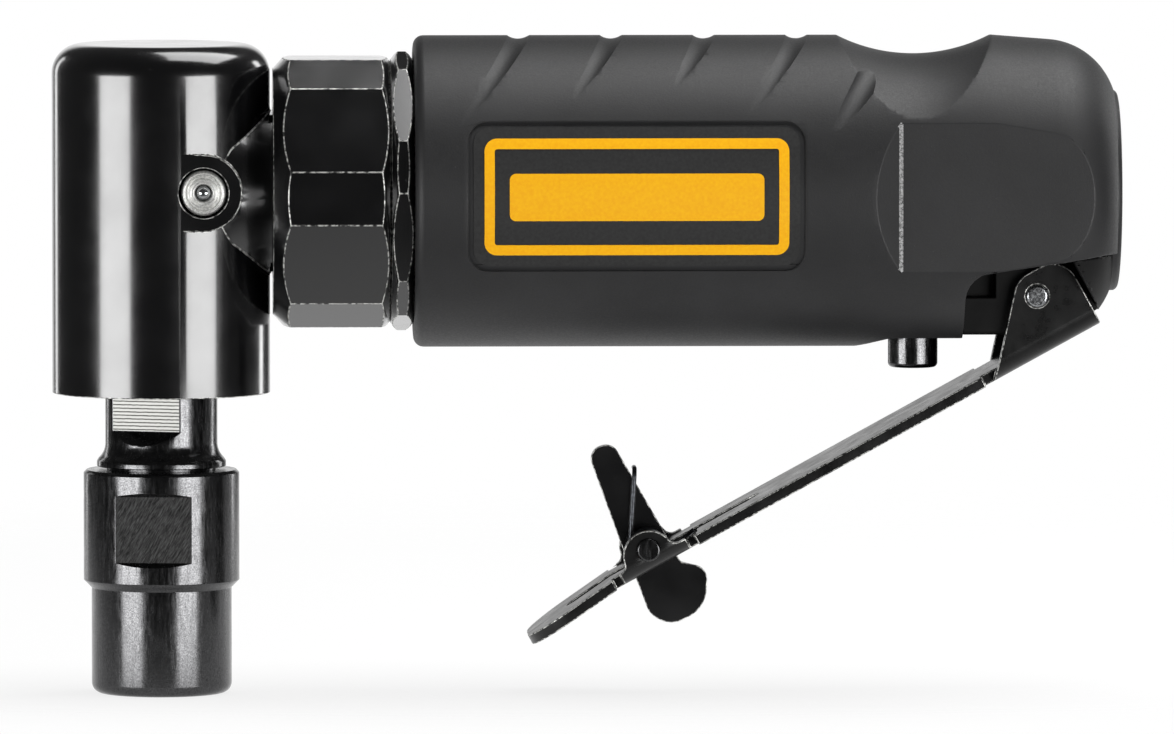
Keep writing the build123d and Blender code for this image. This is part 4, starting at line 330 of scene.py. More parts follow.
# Round at the pocket's front: x of its middle, drop of its top below the motor axis, and its radius.
POCKET_ROUND = (106.2, 9.6, 3.6)
POCKET_ROOF_REAR = (120.35, 56.9)
SEAT_MIDDLE = (60.5, 64.75)
SEAT_SIZE = (43.0, 19.0)
SEAT_CORNER = 2.5
SEAT_RADIUS = 19.6
SEAT_FLOOR_END_X = 90
SEAT_BLOCK_Y = -25
SEAT_BLOCK_DEPTH = 15
GROOVE_SLANT = radians(34)
GROOVE_TUBE = 2.6
# Each finger groove: x where it crosses the top, height above the motor axis where it runs out, depth.
GROOVES = ((46.3, 9.3, 0.45), (58.2, 12.9, 0.45), (70.1, 14.4, 0.45), (82.0, 10.6, 0.45), (93.9, 9.3, 1.25))
# Limits outside the sleeve, to which the cutting blocks reach.
AHEAD_X = 30
BEHIND_X = 130
BESIDE_Y = 40
BELOW_Z = 30
ABOVE_Z = 100


def turned_piece(name, rings, place, tilt, around=96):
    """Round bar turned to an outline of (radius, height) in millimetres: a disc that is drawn out and
    widened or narrowed ring by ring."""
    bpy.ops.object.select_all(action="DESELECT")
    bpy.ops.mesh.primitive_circle_add(vertices=around, radius=rings[0][0] * MM, fill_type="NGON")
    piece = bpy.context.active_object
    piece.name = name
    bpy.ops.object.mode_set(mode="EDIT")
    bpy.ops.mesh.select_all(action="SELECT")
    bpy.ops.transform.translate(value=(0, 0, rings[0][1] * MM))
    for (radius, height), (next_radius, next_height) in zip(rings, rings[1:]):
        rise = (next_height - height) * MM
        bpy.ops.mesh.extrude_region_move(TRANSFORM_OT_translate={"value": (0, 0, rise)})
        grow = next_radius / radius
        bpy.ops.transform.resize(value=(grow, grow, 1), center_override=(0, 0, next_height * MM))
    bpy.ops.mesh.select_all(action="SELECT")
    bpy.ops.mesh.normals_make_consistent(inside=False)
    bpy.ops.object.mode_set(mode="OBJECT")
    piece.rotation_euler = tilt
    piece.location = [value * MM for value in place]
    bpy.ops.object.transform_apply(location=True, rotation=True, scale=True)
    return piece


def prism(corners, sweep):
    """Block with an outline of corner points, drawn out along a sweep, all in millimetres."""
    bpy.ops.object.select_all(action="DESELECT")
    bpy.ops.mesh.primitive_plane_add(size=MM)
    block = bpy.context.active_object
    bpy.ops.object.mode_set(mode="EDIT")
    bpy.ops.mesh.select_all(action="SELECT")
    bpy.ops.mesh.merge(type="CENTER")
    bpy.ops.transform.translate(value=Vector(corners[0]) * MM)
    for corner, following in zip(corners, corners[1:]):
        step = (Vector(following) - Vector(corner)) * MM
        bpy.ops.mesh.extrude_region_move(TRANSFORM_OT_translate={"value": step})
    bpy.ops.mesh.select_all(action="SELECT")
    bpy.ops.mesh.edge_face_add()
    bpy.ops.mesh.extrude_region_move(TRANSFORM_OT_translate={"value": Vector(sweep) * MM})
    bpy.ops.mesh.select_all(action="SELECT")
    bpy.ops.mesh.normals_make_consistent(inside=False)
    bpy.ops.object.mode_set(mode="OBJECT")
    return block


def cut(piece, tool):
    """Takes a tool's shape out of a piece, which is left selected and active."""
    bpy.ops.object.select_all(action="DESELECT")
    piece.select_set(True)
    bpy.context.view_layer.objects.active = piece
    press = piece.modifiers.new("Cut", "BOOLEAN")
    press.operation = "DIFFERENCE"
    press.solver = "EXACT"
    press.object = tool
    press.material_mode = "TRANSFER"
    bpy.ops.object.modifier_apply(modifier=press.name)
    bpy.data.objects.remove(tool)


def put_in_order(piece):
    """Writes a cut piece's points and faces again in order of place. The cuts leave them in a chance
    order, and the merging and rounding that follow would come out a little different in each run."""
    points = [tuple(point.co) for point in piece.data.vertices]
    order = sorted(range(len(points)), key=lambda index: points[index])
    rank = {index: turn for turn, index in enumerate(order)}
    faces = []
    for face in piece.data.polygons:
        corners = [rank[index] for index in face.vertices]
        first = corners.index(min(corners))
        faces.append((corners[first:] + corners[:first], face.material_index))
    faces.sort()
    piece.data.clear_geometry()
    piece.data.from_pydata([points[index] for index in order], [], [corners for corners, finish in faces])
    piece.data.polygons.foreach_set("material_index", [finish for corners, finish in faces])


# The turned blank: a rounded front end, rings every 2 mm, which keep its faces short enough to shade
# cleanly beside the cuts, and the lead and round of the tail.
LIE_ALONG_X = (0, pi / 2, 0)
outline = [(SLEEVE_RADIUS - FRONT_ROUND * (1 - sin(radians(turn))), FRONT_ROUND * (1 - cos(radians(turn))))
           for turn in range(0, 91, 15)]
outline += [(SLEEVE_RADIUS, height) for height in range(4, 73, 2)]
outline += [(TAIL_LEAD[1], TAIL_LEAD[0] - SLEEVE_FRONT_X)]
outline += [(TAIL_ROUND_MIDDLE[1] + TAIL_ROUND * cos(radians(turn)),
             TAIL_ROUND_MIDDLE[0] + TAIL_ROUND * sin(radians(turn)) - SLEEVE_FRONT_X)
            for turn in range(5, 80, 3)]
sleeve = turned_piece("grip_sleeve_finished", outline, (SLEEVE_FRONT_X, 0, MOTOR_AXIS_Z), LIE_ALONG_X, 240)
sleeve.data.materials.append(grip_plastic)
sleeve.data.materials.append(scuffed_plastic_and_highlight)

# Finger grooves, cut first with slanted rings. A passing mark on their faces keeps the rounding of the
# edges away from them, because they run out softly. Radius and drop of a ring follow from the groove's
# depth at the top and the height at which it has run out.
groove_mark = bpy.data.materials.new("Groove_mark")
sleeve.data.materials.append(groove_mark)
for top_x, end, depth in GROOVES:
    fade = end / SLEEVE_RADIUS
    stretch = sqrt(1 + sin(GROOVE_SLANT) ** 2)
    stretch_end = sqrt(1 + (sin(GROOVE_SLANT) * fade) ** 2)
    drop = (depth - GROOVE_TUBE * (stretch - stretch_end)) / (1 - fade)
    ring = SLEEVE_RADIUS + GROOVE_TUBE * stretch + drop - depth
    bpy.ops.object.select_all(action="DESELECT")
    bpy.ops.mesh.primitive_torus_add(major_segments=180, minor_segments=60, major_radius=ring * MM,
                                     minor_radius=GROOVE_TUBE * MM)
    tool = bpy.context.active_object
    tool.rotation_euler = Matrix(((0, sin(GROOVE_SLANT), cos(GROOVE_SLANT)), (1, 0, 0),
                                  (0, cos(GROOVE_SLANT), -sin(GROOVE_SLANT)))).to_euler()
    tool.scale = (1, 1 / cos(GROOVE_SLANT), 1)
    tool.location = ((top_x - ring * tan(GROOVE_SLANT)) * MM, 0, (MOTOR_AXIS_Z - drop) * MM)
    bpy.ops.object.transform_apply(location=True, rotation=True, scale=True)
    tool.data.materials.append(groove_mark)
    cut(sleeve, tool)

# Side flats, the relief under the belly, the lever's pocket and the plunger's hole.
for side in (-1, 1):
    inner_y = side * FLAT_HALF_WIDTH
    outer_y = side * (FLAT_HALF_WIDTH + FLAT_RAMP_RISE)
    cut(sleeve, prism(((FLAT_FRONT_X, inner_y, BELOW_Z), (BEHIND_X, inner_y, BELOW_Z),
                       (BEHIND_X, outer_y, BELOW_Z), (FLAT_FRONT_X - FLAT_RAMP_LENGTH, outer_y, BELOW_Z)),
                      (0, 0, ABOVE_Z - BELOW_Z)))
cut(sleeve, prism([(x, -BESIDE_Y, z) for x, z in BELLY], (0, 2 * BESIDE_Y, 0)))
round_x, round_drop, round_radius = POCKET_ROUND
roof_x, roof_z = POCKET_ROOF_REAR
pocket = [(round_x - round_radius * cos(radians(turn)), -BESIDE_Y,
           MOTOR_AXIS_Z - round_drop - round_radius * (1 - sin(radians(turn)))) for turn in range(0, 91, 15)]
pocket += [(roof_x, -BESIDE_Y, roof_z), (BEHIND_X, -BESIDE_Y, roof_z), (BEHIND_X, -BESIDE_Y, BELOW_Z),
           (round_x - round_radius, -BESIDE_Y, BELOW_Z)]
cut(sleeve, prism(pocket, (0, 2 * BESIDE_Y, 0)))
cut(sleeve, turned_piece("Plunger_hole", [(PLUNGER_HOLE_RADIUS, height) for height in PLUNGER_HOLE_Z],
                         (PLUNGER_X, 0, 0), (0, 0, 0)))

# Seat for the label: a block with round corners, hollowed below so that the seat's floor stays round.
seat = []
for corner, (across, up) in enumerate(((1, 1), (-1, 1), (-1, -1), (1, -1))):
    corner_x = SEAT_MIDDLE[0] + (SEAT_SIZE[0] / 2 - SEAT_CORNER) * across
    corner_z = SEAT_MIDDLE[1] + (SEAT_SIZE[1] / 2 - SEAT_CORNER) * up
    for turn in range(90 * corner, 90 * corner + 91, 15):
        seat.append((corner_x + SEAT_CORNER * cos(radians(turn)), SEAT_BLOCK_Y,
                     corner_z + SEAT_CORNER * sin(radians(turn))))
window = prism(seat, (0, SEAT_BLOCK_DEPTH, 0))
cut(window, turned_piece("Seat_floor", ((SEAT_RADIUS, AHEAD_X), (SEAT_RADIUS, SEAT_FLOOR_END_X)),
                         (0, 0, MOTOR_AXIS_Z), LIE_ALONG_X, 240))
cut(sleeve, window)

# Thumb scoop: what lies above a waisted spool is taken away. The bore comes last.
spool = [(SCOOP_WAIST + SCOOP_ARC - sqrt(SCOOP_ARC ** 2 - (SCOOP_HALF_LENGTH * step / SCOOP_STEPS) ** 2),
          SCOOP_HALF_LENGTH * step / SCOOP_STEPS) for step in range(-SCOOP_STEPS, SCOOP_STEPS + 1)]
scoop_front = SCOOP_MIDDLE_X - SCOOP_HALF_LENGTH + SCOOP_TRIM
scoop_rear = SCOOP_MIDDLE_X + SCOOP_HALF_LENGTH - SCOOP_TRIM
scoop_block = [(x, -SCOOP_BLOCK_HALF_WIDTH, SCOOP_FLOOR_Z) for x in (scoop_front, scoop_rear)]
scoop_block += [(x, -SCOOP_BLOCK_HALF_WIDTH, ABOVE_Z) for x in (scoop_rear, scoop_front)]
above = prism(scoop_block, (0, 2 * SCOOP_BLOCK_HALF_WIDTH, 0))
cut(above, turned_piece("Scoop_spool", spool, (SCOOP_MIDDLE_X, 0, SCOOP_AXIS_Z), LIE_ALONG_X, 240))
cut(sleeve, above)
cut(sleeve, turned_piece("Bore", ((BORE_RADIUS, AHEAD_X), (BORE_RADIUS, BORE_END_X),
                                  (MOUTH_RADIUS, BORE_END_X), (MOUTH_RADIUS, BEHIND_X)),
                         (0, 0, MOTOR_AXIS_Z), LIE_ALONG_X, 120))

# Moulded edges: all of them a little dulled, the grooves' not at all and the front edges of the side flats
# most. Only these last ones are scuffed, and painted paler as a highlight.
put_in_order(sleeve)
bpy.ops.object.mode_set(mode="EDIT")
bpy.ops.mesh.select_all(action="SELECT")
bpy.ops.mesh.remove_doubles(threshold=SMALLEST_STEP * MM)
bpy.ops.mesh.select_mode(type="EDGE")
bpy.ops.mesh.select_all(action="DESELECT")
bpy.ops.mesh.edges_select_sharp(sharpness=radians(EDGE_TURN))
bpy.ops.transform.edge_bevelweight(value=DULL_EDGE)
bpy.ops.mesh.select_mode(type="FACE")
bpy.ops.mesh.select_all(action="DESELECT")
sleeve.active_material_index = 2
bpy.ops.object.material_slot_select()
bpy.ops.transform.edge_bevelweight(value=-1)
bpy.ops.object.mode_set(mode="OBJECT")
points = sleeve.data.vertices
for edge, weight in zip(sleeve.data.edges, sleeve.data.attributes["bevel_weight_edge"].data):
    middle = (points[edge.vertices[0]].co + points[edge.vertices[1]].co) / 2 / MM
    if abs(middle.x - FLAT_FRONT_X) < 0.02 and abs(abs(middle.y) - FLAT_HALF_WIDTH) < 0.02:
        weight.value = 1.0
break_edges(sleeve, SLEEVE_EDGE, EDGE_TURN, 3)
# The strips at the side flats' front edges take the scuffed finish, which is also a painted highlight.
for face in sleeve.data.polygons:
    middle = face.center / MM
    beside_flat = (abs(middle.x - FLAT_FRONT_X) < SCUFF_AND_HIGHLIGHT_HALF_WIDTH and abs(middle.y) > SCUFF_AND_HIGHLIGHT_FROM_Y
                   and abs(middle.z - MOTOR_AXIS_Z) < SCUFF_AND_HIGHLIGHT_HALF_HEIGHT)
    if face.material_index == 2 or not beside_flat:
        face.material_index = 0
sleeve.data.materials.pop()
bpy.data.materials.remove(groove_mark)
smooth_rounds(sleeve, 25)
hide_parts("grip_sleeve")
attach(sleeve, "housing")


# Label: a plain printed vinyl plate in the seat on the near side, charcoal with an amber frame and
# bar. Each colour is a film of its own, cut with round corners and rolled onto the handle.
FILM = 0.1 * MM
FILM_STRIPS = 40


def label_film(name, width_mm, height_mm, corner_mm, lift, frame_mm, material):
    """Thin film with round corners, rolled onto the handle; a frame width leaves its middle open."""
    bpy.ops.object.select_all(action="DESELECT")
    bpy.ops.mesh.primitive_cylinder_add(vertices=360, radius=SEAT_RADIUS * MM + lift, depth=0.1,
                                        location=(SEAT_MIDDLE[0] * MM, 0, MOTOR_AXIS_Z * MM),
                                        rotation=LIE_ALONG_X)
    handle = bpy.context.active_object
    bpy.ops.mesh.primitive_plane_add(size=1, location=(SEAT_MIDDLE[0] * MM, -0.03, SEAT_MIDDLE[1] * MM),
                                     rotation=(pi / 2, 0, 0))
    film = bpy.context.active_object
    film.name = name
    film.scale = (width_mm * MM, height_mm * MM, 1)
    bpy.ops.object.transform_apply(location=True, rotation=True, scale=True)
    bpy.ops.object.mode_set(mode="EDIT")
    bpy.ops.mesh.bevel(offset=corner_mm * MM, segments=8, affect="VERTICES")
    if frame_mm:
        bpy.ops.mesh.select_all(action="SELECT")
        bpy.ops.mesh.inset(thickness=frame_mm * MM)
        bpy.ops.mesh.delete(type="FACE")
    for step in range(1, FILM_STRIPS):
        bpy.ops.mesh.select_all(action="SELECT")
        height = (SEAT_MIDDLE[1] + (step / FILM_STRIPS - 0.5) * height_mm) * MM
        bpy.ops.mesh.bisect(plane_co=(0, 0, height), plane_no=(0, 0, 1))
    bpy.ops.object.mode_set(mode="OBJECT")
    roll = film.modifiers.new("Rolled_on", "SHRINKWRAP")
    roll.target = handle
    roll.wrap_method = "PROJECT"
    roll.use_project_y = True
    roll.use_positive_direction = True
    bpy.ops.object.modifier_apply(modifier=roll.name)
    thick = film.modifiers.new("Film", "SOLIDIFY")
    thick.thickness = FILM
    thick.offset = 1
    bpy.ops.object.modifier_apply(modifier=thick.name)
    bpy.data.objects.remove(handle)
    bpy.ops.object.shade_smooth_by_angle(angle=radians(30))
    film.data.materials.append(material)
    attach(film, "housing")


# Printed vinyl: even satin colour with the faint mottle of the ink.
# Each film: name, width, height and corner in mm, lift above the seat in metres, width of its frame in mm.
for name, dark, light, films in (
        ("Charcoal_printed_vinyl", "#262626", "#303030", (("Label_plate", 41.6, 17.6, 2.1, 0.0, 0),)),
        ("Amber_printed_vinyl", "#FAAF00", "#FFBE04", (("Label_frame", 38.8, 14.8, 1.6, FILM, 1.3),
                                                       ("Label_bar", 32.4, 6.0, 0.8, FILM, 0)))):
    vinyl, shader, place = new_finish(name, {"IOR": 1.4, "Roughness": 0.5})
    mottle = add_node(vinyl, "ShaderNodeTexNoise", {"Vector": (place, "Object")},
                      {"Scale": 1 / (0.4 * MM), "Detail": 4.0})
    tones = add_node(vinyl, "ShaderNodeValToRGB", {"Fac": (mottle, 0)},
                     stops=((0.3, dark), (0.7, light)))
    bump = add_node(vinyl, "ShaderNodeBump", {"Height": (mottle, "Fac")},
                    {"Strength": 0.08, "Distance": 0.02 * MM})
    wire_shader(vinyl, shader, {"Base Color": (tones, "Color"), "Normal": (bump, "Normal")})
    for film_name, width, height, corner, lift, border in films:
        label_film(film_name, width, height, corner, lift, border, vinyl)


# Throttle valve: a brass bushing and seat, a steel ball on its spring and a brass plug, dropped into
# the housing from the top. The plunger is turned from steel and blackened, and its foot shows below
# the handle.

# Black oxide on turned steel: dark metal with a soft oiled gloss that is wiped upright in smears, fine
# turning lines round the axis and a grain of paler specks where the oxide is thin. The real lines of
# 0.05 mm are drawn at 0.16 mm.
black_oxide, shader, place = new_finish("Black_oxide_on_turned_steel", {"Metallic": 1.0})
thin = add_node(black_oxide, "ShaderNodeTexNoise", {"Vector": (place, "Object")},
                {"Scale": 1 / (0.15 * MM), "Detail": 4.0, "Roughness": 0.65})
tones = add_node(black_oxide, "ShaderNodeValToRGB", {"Fac": (thin, 0)},
                 stops=((0.32, "#343435"), (0.68, "#626263")))
drawn_out = add_node(black_oxide, "ShaderNodeMapping", {"Vector": (place, "Object")},
                     {"Scale": (0.16, 0.16, 1.0)}, vector_type="TEXTURE")
smears = add_node(black_oxide, "ShaderNodeTexNoise", {"Vector": (drawn_out, "Vector")},
                  {"Scale": 1 / (2.5 * MM), "Detail": 5.0, "Roughness": 0.65})
turning = add_node(black_oxide, "ShaderNodeTexWave", {"Vector": (place, "Object")},
                   {"Scale": 2 * pi / (20 * 0.16 * MM), "Distortion": 1.0, "Detail": 2.0,
                    "Detail Scale": 1.0}, bands_direction="Z")
gloss = add_node(black_oxide, "ShaderNodeMapRange", {"Value": (smears, "Fac")},
                 {"From Min": 0.35, "From Max": 0.65, "To Min": 0.12, "To Max": 0.3})
bump = add_node(black_oxide, "ShaderNodeBump", {"Height": (turning, "Fac")},
                {"Strength": 0.16, "Distance": 0.01 * MM})
wire_shader(black_oxide, shader, {"Base Color": (tones, "Color"), "Roughness": (gloss, "Result"),
                                  "Normal": (bump, "Normal")})
finished_copy("throttle_plunger", "throttle_plunger", [black_oxide], 0.12, 40)

# Drawn spring wire: clean grey steel with faint drawing marks.
spring_wire, shader, place = new_finish("Drawn_spring_wire", {"Metallic": 1.0})
drawn = add_node(spring_wire, "ShaderNodeTexNoise", {"Vector": (place, "Object")},
                 {"Scale": 1 / (0.3 * MM), "Detail": 3.0})
tones = add_node(spring_wire, "ShaderNodeValToRGB", {"Fac": (drawn, 0)},
                 stops=((0.3, "#8B8D90"), (0.7, "#C2C4C6")))
gloss = add_node(spring_wire, "ShaderNodeMapRange", {"Value": (drawn, "Fac")},
                 {"From Min": 0.3, "From Max": 0.7, "To Min": 0.18, "To Max": 0.32})
wire_shader(spring_wire, shader, {"Base Color": (tones, "Color"), "Roughness": (gloss, "Result")})

valve_spring = finished_copy("valve_spring", "housing", [spring_wire], 0.02, 60)
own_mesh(valve_spring)


# Air inlet and exhaust at the rear end: a zinc-plated threaded bushing with its perforated screen, and
# a slotted cover moulded in black plastic that keeps the felt muffler in.

# Bright plated steel: pale satin metal with a grain of handling marks.
bright_steel, shader, place = new_finish("Bright_plated_steel", {"Metallic": 1.0})
marks = add_node(bright_steel, "ShaderNodeTexNoise", {"Vector": (place, "Object")},
                 {"Scale": 1 / (0.35 * MM), "Detail": 6.0, "Roughness": 0.7})
tones = add_node(bright_steel, "ShaderNodeValToRGB", {"Fac": (marks, 0)},
                 stops=((0.34, "#A4A4A2"), (0.66, "#E4E4E0")))
gloss = add_node(bright_steel, "ShaderNodeMapRange", {"Value": (marks, "Fac")},
                 {"From Min": 0.3, "From Max": 0.7, "To Min": 0.36, "To Max": 0.54})
bump = add_node(bright_steel, "ShaderNodeBump", {"Height": (marks, "Fac")},
                {"Strength": 0.2, "Distance": 0.03 * MM})
wire_shader(bright_steel, shader, {"Base Color": (tones, "Color"), "Roughness": (gloss, "Result"),
                                   "Normal": (bump, "Normal")})
finished_copy("air_inlet_bushing", "housing", [bright_steel], 0.1, 40)
finished_copy("inlet_screen", "housing", [bright_steel], 0.05, 40)
finished_copy("exhaust_cover", "housing", [grip_plastic], 0.2, 40)


# Throttle lever: 1.4 mm steel strip, stamped with its slot, folded up into pivot ears and latch ears,
# and dipped in black enamel. It swings on a plain steel pin through the lug.

# Satin black enamel, dulled by the hand: black with a broad soft shine and a haze of fine scratches.
satin_enamel, shader, place = new_finish("Satin_black_enamel", {"IOR": 1.45})
haze = add_node(satin_enamel, "ShaderNodeTexNoise", {"Vector": (place, "Object")},
                {"Scale": 1 / (3 * MM), "Detail": 6.0, "Roughness": 0.65})
tones = add_node(satin_enamel, "ShaderNodeValToRGB", {"Fac": (haze, 0)},
                 stops=((0.3, "#060606"), (0.7, "#101010")))
gloss = add_node(satin_enamel, "ShaderNodeMapRange", {"Value": (haze, "Fac")},
                 {"From Min": 0.3, "From Max": 0.7, "To Min": 0.24, "To Max": 0.36})
wire_shader(satin_enamel, shader, {"Base Color": (tones, "Color"), "Roughness": (gloss, "Result")})

finished_copy("throttle_lever", "throttle_lever", [satin_enamel, rubbed_enamel_and_edge_highlight], 0.15, 30)
finished_copy("lever_pin", "housing", [spring_wire], 0.15, 40)


# Oil-tempered spring wire: dark scale from the hardening, with one thin light line along the wire.
tempered_wire, shader, place = new_finish("Oil_tempered_spring_wire", {"Metallic": 1.0, "Roughness": 0.36})
scale = add_node(tempered_wire, "ShaderNodeTexNoise", {"Vector": (place, "Object")},
                 {"Scale": 1 / (0.4 * MM), "Detail": 4.0})
tones = add_node(tempered_wire, "ShaderNodeValToRGB", {"Fac": (scale, 0)},
                 stops=((0.3, "#2C2D2F"), (0.7, "#54565A")))
wire_shader(tempered_wire, shader, {"Base Color": (tones, "Color")})

finished_copy("safety_latch", "safety_latch", [enamel, rubbed_enamel_and_edge_highlight], 0.12, 40)
finished_copy("safety_pin", "throttle_lever", [black_oxide], 0.3, 40, 4)
torsion_spring = finished_copy("safety_spring", None, [tempered_wire], 0.02, 60)
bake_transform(torsion_spring)


# Clamp nut and coupling nut: hexagonal steel bar, turned, chamfered and enamelled. The clamp nut closes
# the housing, and the coupling nut pulls the head's neck ring against it.
finished_copy("clamp_nut", "housing", [enamel, rubbed_enamel_and_edge_highlight], 0.1, 20)
finished_copy("coupling_nut", "housing", [enamel, rubbed_enamel_and_edge_highlight], 0.1, 20)


# Angle head: steel casting with a barrel for the spindle, a neck towards the motor and a boss for the
# grease fitting, machined below and enamelled gloss black.
finished_copy("angle_head", "housing", [enamel, rubbed_enamel_and_edge_highlight], 0.12, 30)
finished_copy("bearing_retainer", "housing", [black_oxide], 0.1, 40)


# Grease fitting: a turned steel nipple, plated bright and pressed into the boss.
FITTING_PLACE = (5.4, -9.2, 65.0)
# Each ring of the turned outline: radius and height above the pressed-in end, in millimetres.
FITTING_RINGS = ((2.88, 0.0), (2.88, 3.85), (2.62, 4.2), (2.3, 4.2), (2.2, 4.02), (1.9, 4.02), (1.8, 4.2),
                 (1.5, 4.2), (1.42, 4.02), (1.2, 3.9), (1.04, 3.4), (1.04, 1.5))

# Bright turned steel: pale metal whose face shines in fine rings round its middle.
turned_steel, shader, place = new_finish("Bright_turned_steel", {"Metallic": 0.75})
centred = add_node(turned_steel, "ShaderNodeMapping", {"Vector": (place, "Object")},
                   {"Location": [-value * MM for value in FITTING_PLACE]})
rings = add_node(turned_steel, "ShaderNodeTexWave", {"Vector": (centred, "Vector")},
                 {"Scale": 2 * pi / (20 * 0.22 * MM), "Distortion": 0.6, "Detail": 2.0},
                 wave_type="RINGS", rings_direction="Y")
marks = add_node(turned_steel, "ShaderNodeTexNoise", {"Vector": (centred, "Vector")},
                 {"Scale": 1 / (0.3 * MM), "Detail": 5.0, "Roughness": 0.7})
tones = add_node(turned_steel, "ShaderNodeValToRGB", {"Fac": (marks, 0)},
                 stops=((0.34, "#B8B8B6"), (0.62, "#F0F0EC")))
gloss = add_node(turned_steel, "ShaderNodeMapRange", {"Value": (rings, "Fac")},
                 {"To Min": 0.4, "To Max": 0.56})
bump = add_node(turned_steel, "ShaderNodeBump", {"Height": (rings, "Fac")},
                {"Strength": 0.8, "Distance": 0.04 * MM})
wire_shader(turned_steel, shader, {"Base Color": (tones, "Color"), "Roughness": (gloss, "Result"),
                                   "Normal": (bump, "Normal")})
fitting = turned_piece("grease_fitting_finished", FITTING_RINGS, FITTING_PLACE, (pi / 2, 0, 0))
bpy.ops.object.shade_smooth_by_angle(angle=radians(20))
fitting.data.materials.append(turned_steel)
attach(fitting, "housing")
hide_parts("grease_fitting")


# Spindle, collet and collet nut: turned from alloy steel and blackened. The nut draws the slit collet
# into the spindle's taper. Both have flats for wrenches, milled after the blackening on the spindle and
# before it on the nut.

# Bare milled steel: bright metal with the cutter's lines straight across it, about 0.45 mm apart.
milled_steel, shader, place = new_finish("Bare_milled_steel", {"Metallic": 1.0, "Roughness": 0.45})
lines = add_node(milled_steel, "ShaderNodeTexWave", {"Vector": (place, "Object")},
                 {"Scale": 2 * pi / (20 * 0.45 * MM), "Distortion": 0.8, "Detail": 3.0,
                  "Detail Scale": 2.5}, bands_direction="Z")
tones = add_node(milled_steel, "ShaderNodeValToRGB", {"Fac": (lines, 0)},
                 stops=((0.08, "#3E3E3C"), (0.4, "#9C9C99")))
bump = add_node(milled_steel, "ShaderNodeBump", {"Height": (lines, "Fac")},
                {"Strength": 0.35, "Distance": 0.03 * MM})
wire_shader(milled_steel, shader, {"Base Color": (tones, "Color"), "Normal": (bump, "Normal")})

# Milled steel under black oxide: dull dark metal with slanted cutter scratches.
milled_oxide, shader, place = new_finish("Black_oxide_on_milled_steel", {"Metallic": 1.0, "Roughness": 0.5})
slanted = add_node(milled_oxide, "ShaderNodeMapping", {"Vector": (place, "Object")},
                   {"Rotation": (0, radians(30), 0), "Scale": (0.12, 0.12, 1.0)}, vector_type="TEXTURE")
scratches = add_node(milled_oxide, "ShaderNodeTexNoise", {"Vector": (slanted, "Vector")},
                     {"Scale": 1 / (1.2 * MM), "Detail": 5.0, "Roughness": 0.7})
tones = add_node(milled_oxide, "ShaderNodeValToRGB", {"Fac": (scratches, 0)},
                 stops=((0.4, "#2C2C2C"), (0.75, "#6C6C6C")))
bump = add_node(milled_oxide, "ShaderNodeBump", {"Height": (scratches, "Fac")},
                {"Strength": 0.15, "Distance": 0.01 * MM})
wire_shader(milled_oxide, shader, {"Base Color": (tones, "Color"), "Normal": (bump, "Normal")})

# Each row: node, body, broken edge, distance of its flats from the spindle axis in mm, their finish.
for node, body, edge_mm, flat_mm, flat_finish in (("spindle", "spindle", 0.12, 5.5, milled_steel),
                                                  ("collet_nut", "collet_nut", 0.04, 8.7, milled_oxide)):
    piece = finished_copy(node, body, [black_oxide], edge_mm, 20)
    piece.data.materials.append(flat_finish)
    for face in piece.data.polygons:
        if abs(face.normal.z) < 0.02 and abs(face.center.dot(face.normal) - flat_mm * MM) < 0.03 * MM:
            face.material_index = 1
finished_copy("collet", "spindle", [bright_steel], 0.06, 40)


# Studio: a pale floor that fades into the white background, two softboxes at the sides of the camera,
# which draw the two bright strips down each round piece, a soft light overhead and two narrow ones behind.
FLOOR_MIDDLE = (0.055, 0.1, 0)
FLOOR_RADIUS = 0.4
FADE_MIDDLE = (0.055, 0.12)
FADE_REACH = (0.32, 0.22)
bpy.ops.object.select_all(action="DESELECT")
bpy.ops.mesh.primitive_circle_add(vertices=96, radius=FLOOR_RADIUS, fill_type="NGON", location=FLOOR_MIDDLE)
floor = bpy.context.active_object
floor.name = "Studio_floor"
bpy.ops.object.transform_apply(location=True, rotation=True, scale=True)
paper, shader, place = new_finish("White_paper_sweep", {"Base Color": linear("#F2F2F2"), "Roughness": 0.95})
centred = add_node(paper, "ShaderNodeMapping", {"Vector": (place, "Object")},
                   {"Location": (-FADE_MIDDLE[0] / FADE_REACH[0], -FADE_MIDDLE[1] / FADE_REACH[1], 0),
                    "Scale": (1 / FADE_REACH[0], 1 / FADE_REACH[1], 1)})
spread = add_node(paper, "ShaderNodeTexGradient", {"Vector": (centred, "Vector")},
                  gradient_type="SPHERICAL")
fade = add_node(paper, "ShaderNodeMapRange", {"Value": (spread, "Fac")},
                {"From Min": 0.0, "From Max": 0.45})
ray = add_node(paper, "ShaderNodeLightPath")
either = add_node(paper, "ShaderNodeMath", {0: (ray, "Is Camera Ray"), 1: (ray, "Is Glossy Ray")},
                  operation="MAXIMUM")
shown = add_node(paper, "ShaderNodeMath", {0: (either, "Value"), 1: (ray, "Is Transmission Ray")},
                 operation="MAXIMUM")
most = add_node(paper, "ShaderNodeMath", {0: (shown, "Value")}, {1: 0.8}, operation="MULTIPLY")
glow = add_node(paper, "ShaderNodeEmission", None, {"Strength": 1.0})
lit = add_node(paper, "ShaderNodeMixShader", {0: (most, "Value"), 1: (shader, "BSDF"), 2: (glow, "Emission")})
clear = add_node(paper, "ShaderNodeBsdfTransparent")
faded = add_node(paper, "ShaderNodeMixShader", {0: (fade, "Result"), 1: (clear, "BSDF"), 2: (lit, "Shader")})
output = paper.node_tree.nodes["Material Output"]
paper.node_tree.links.new(faded.outputs["Shader"], output.inputs["Surface"])
floor.data.materials.append(paper)

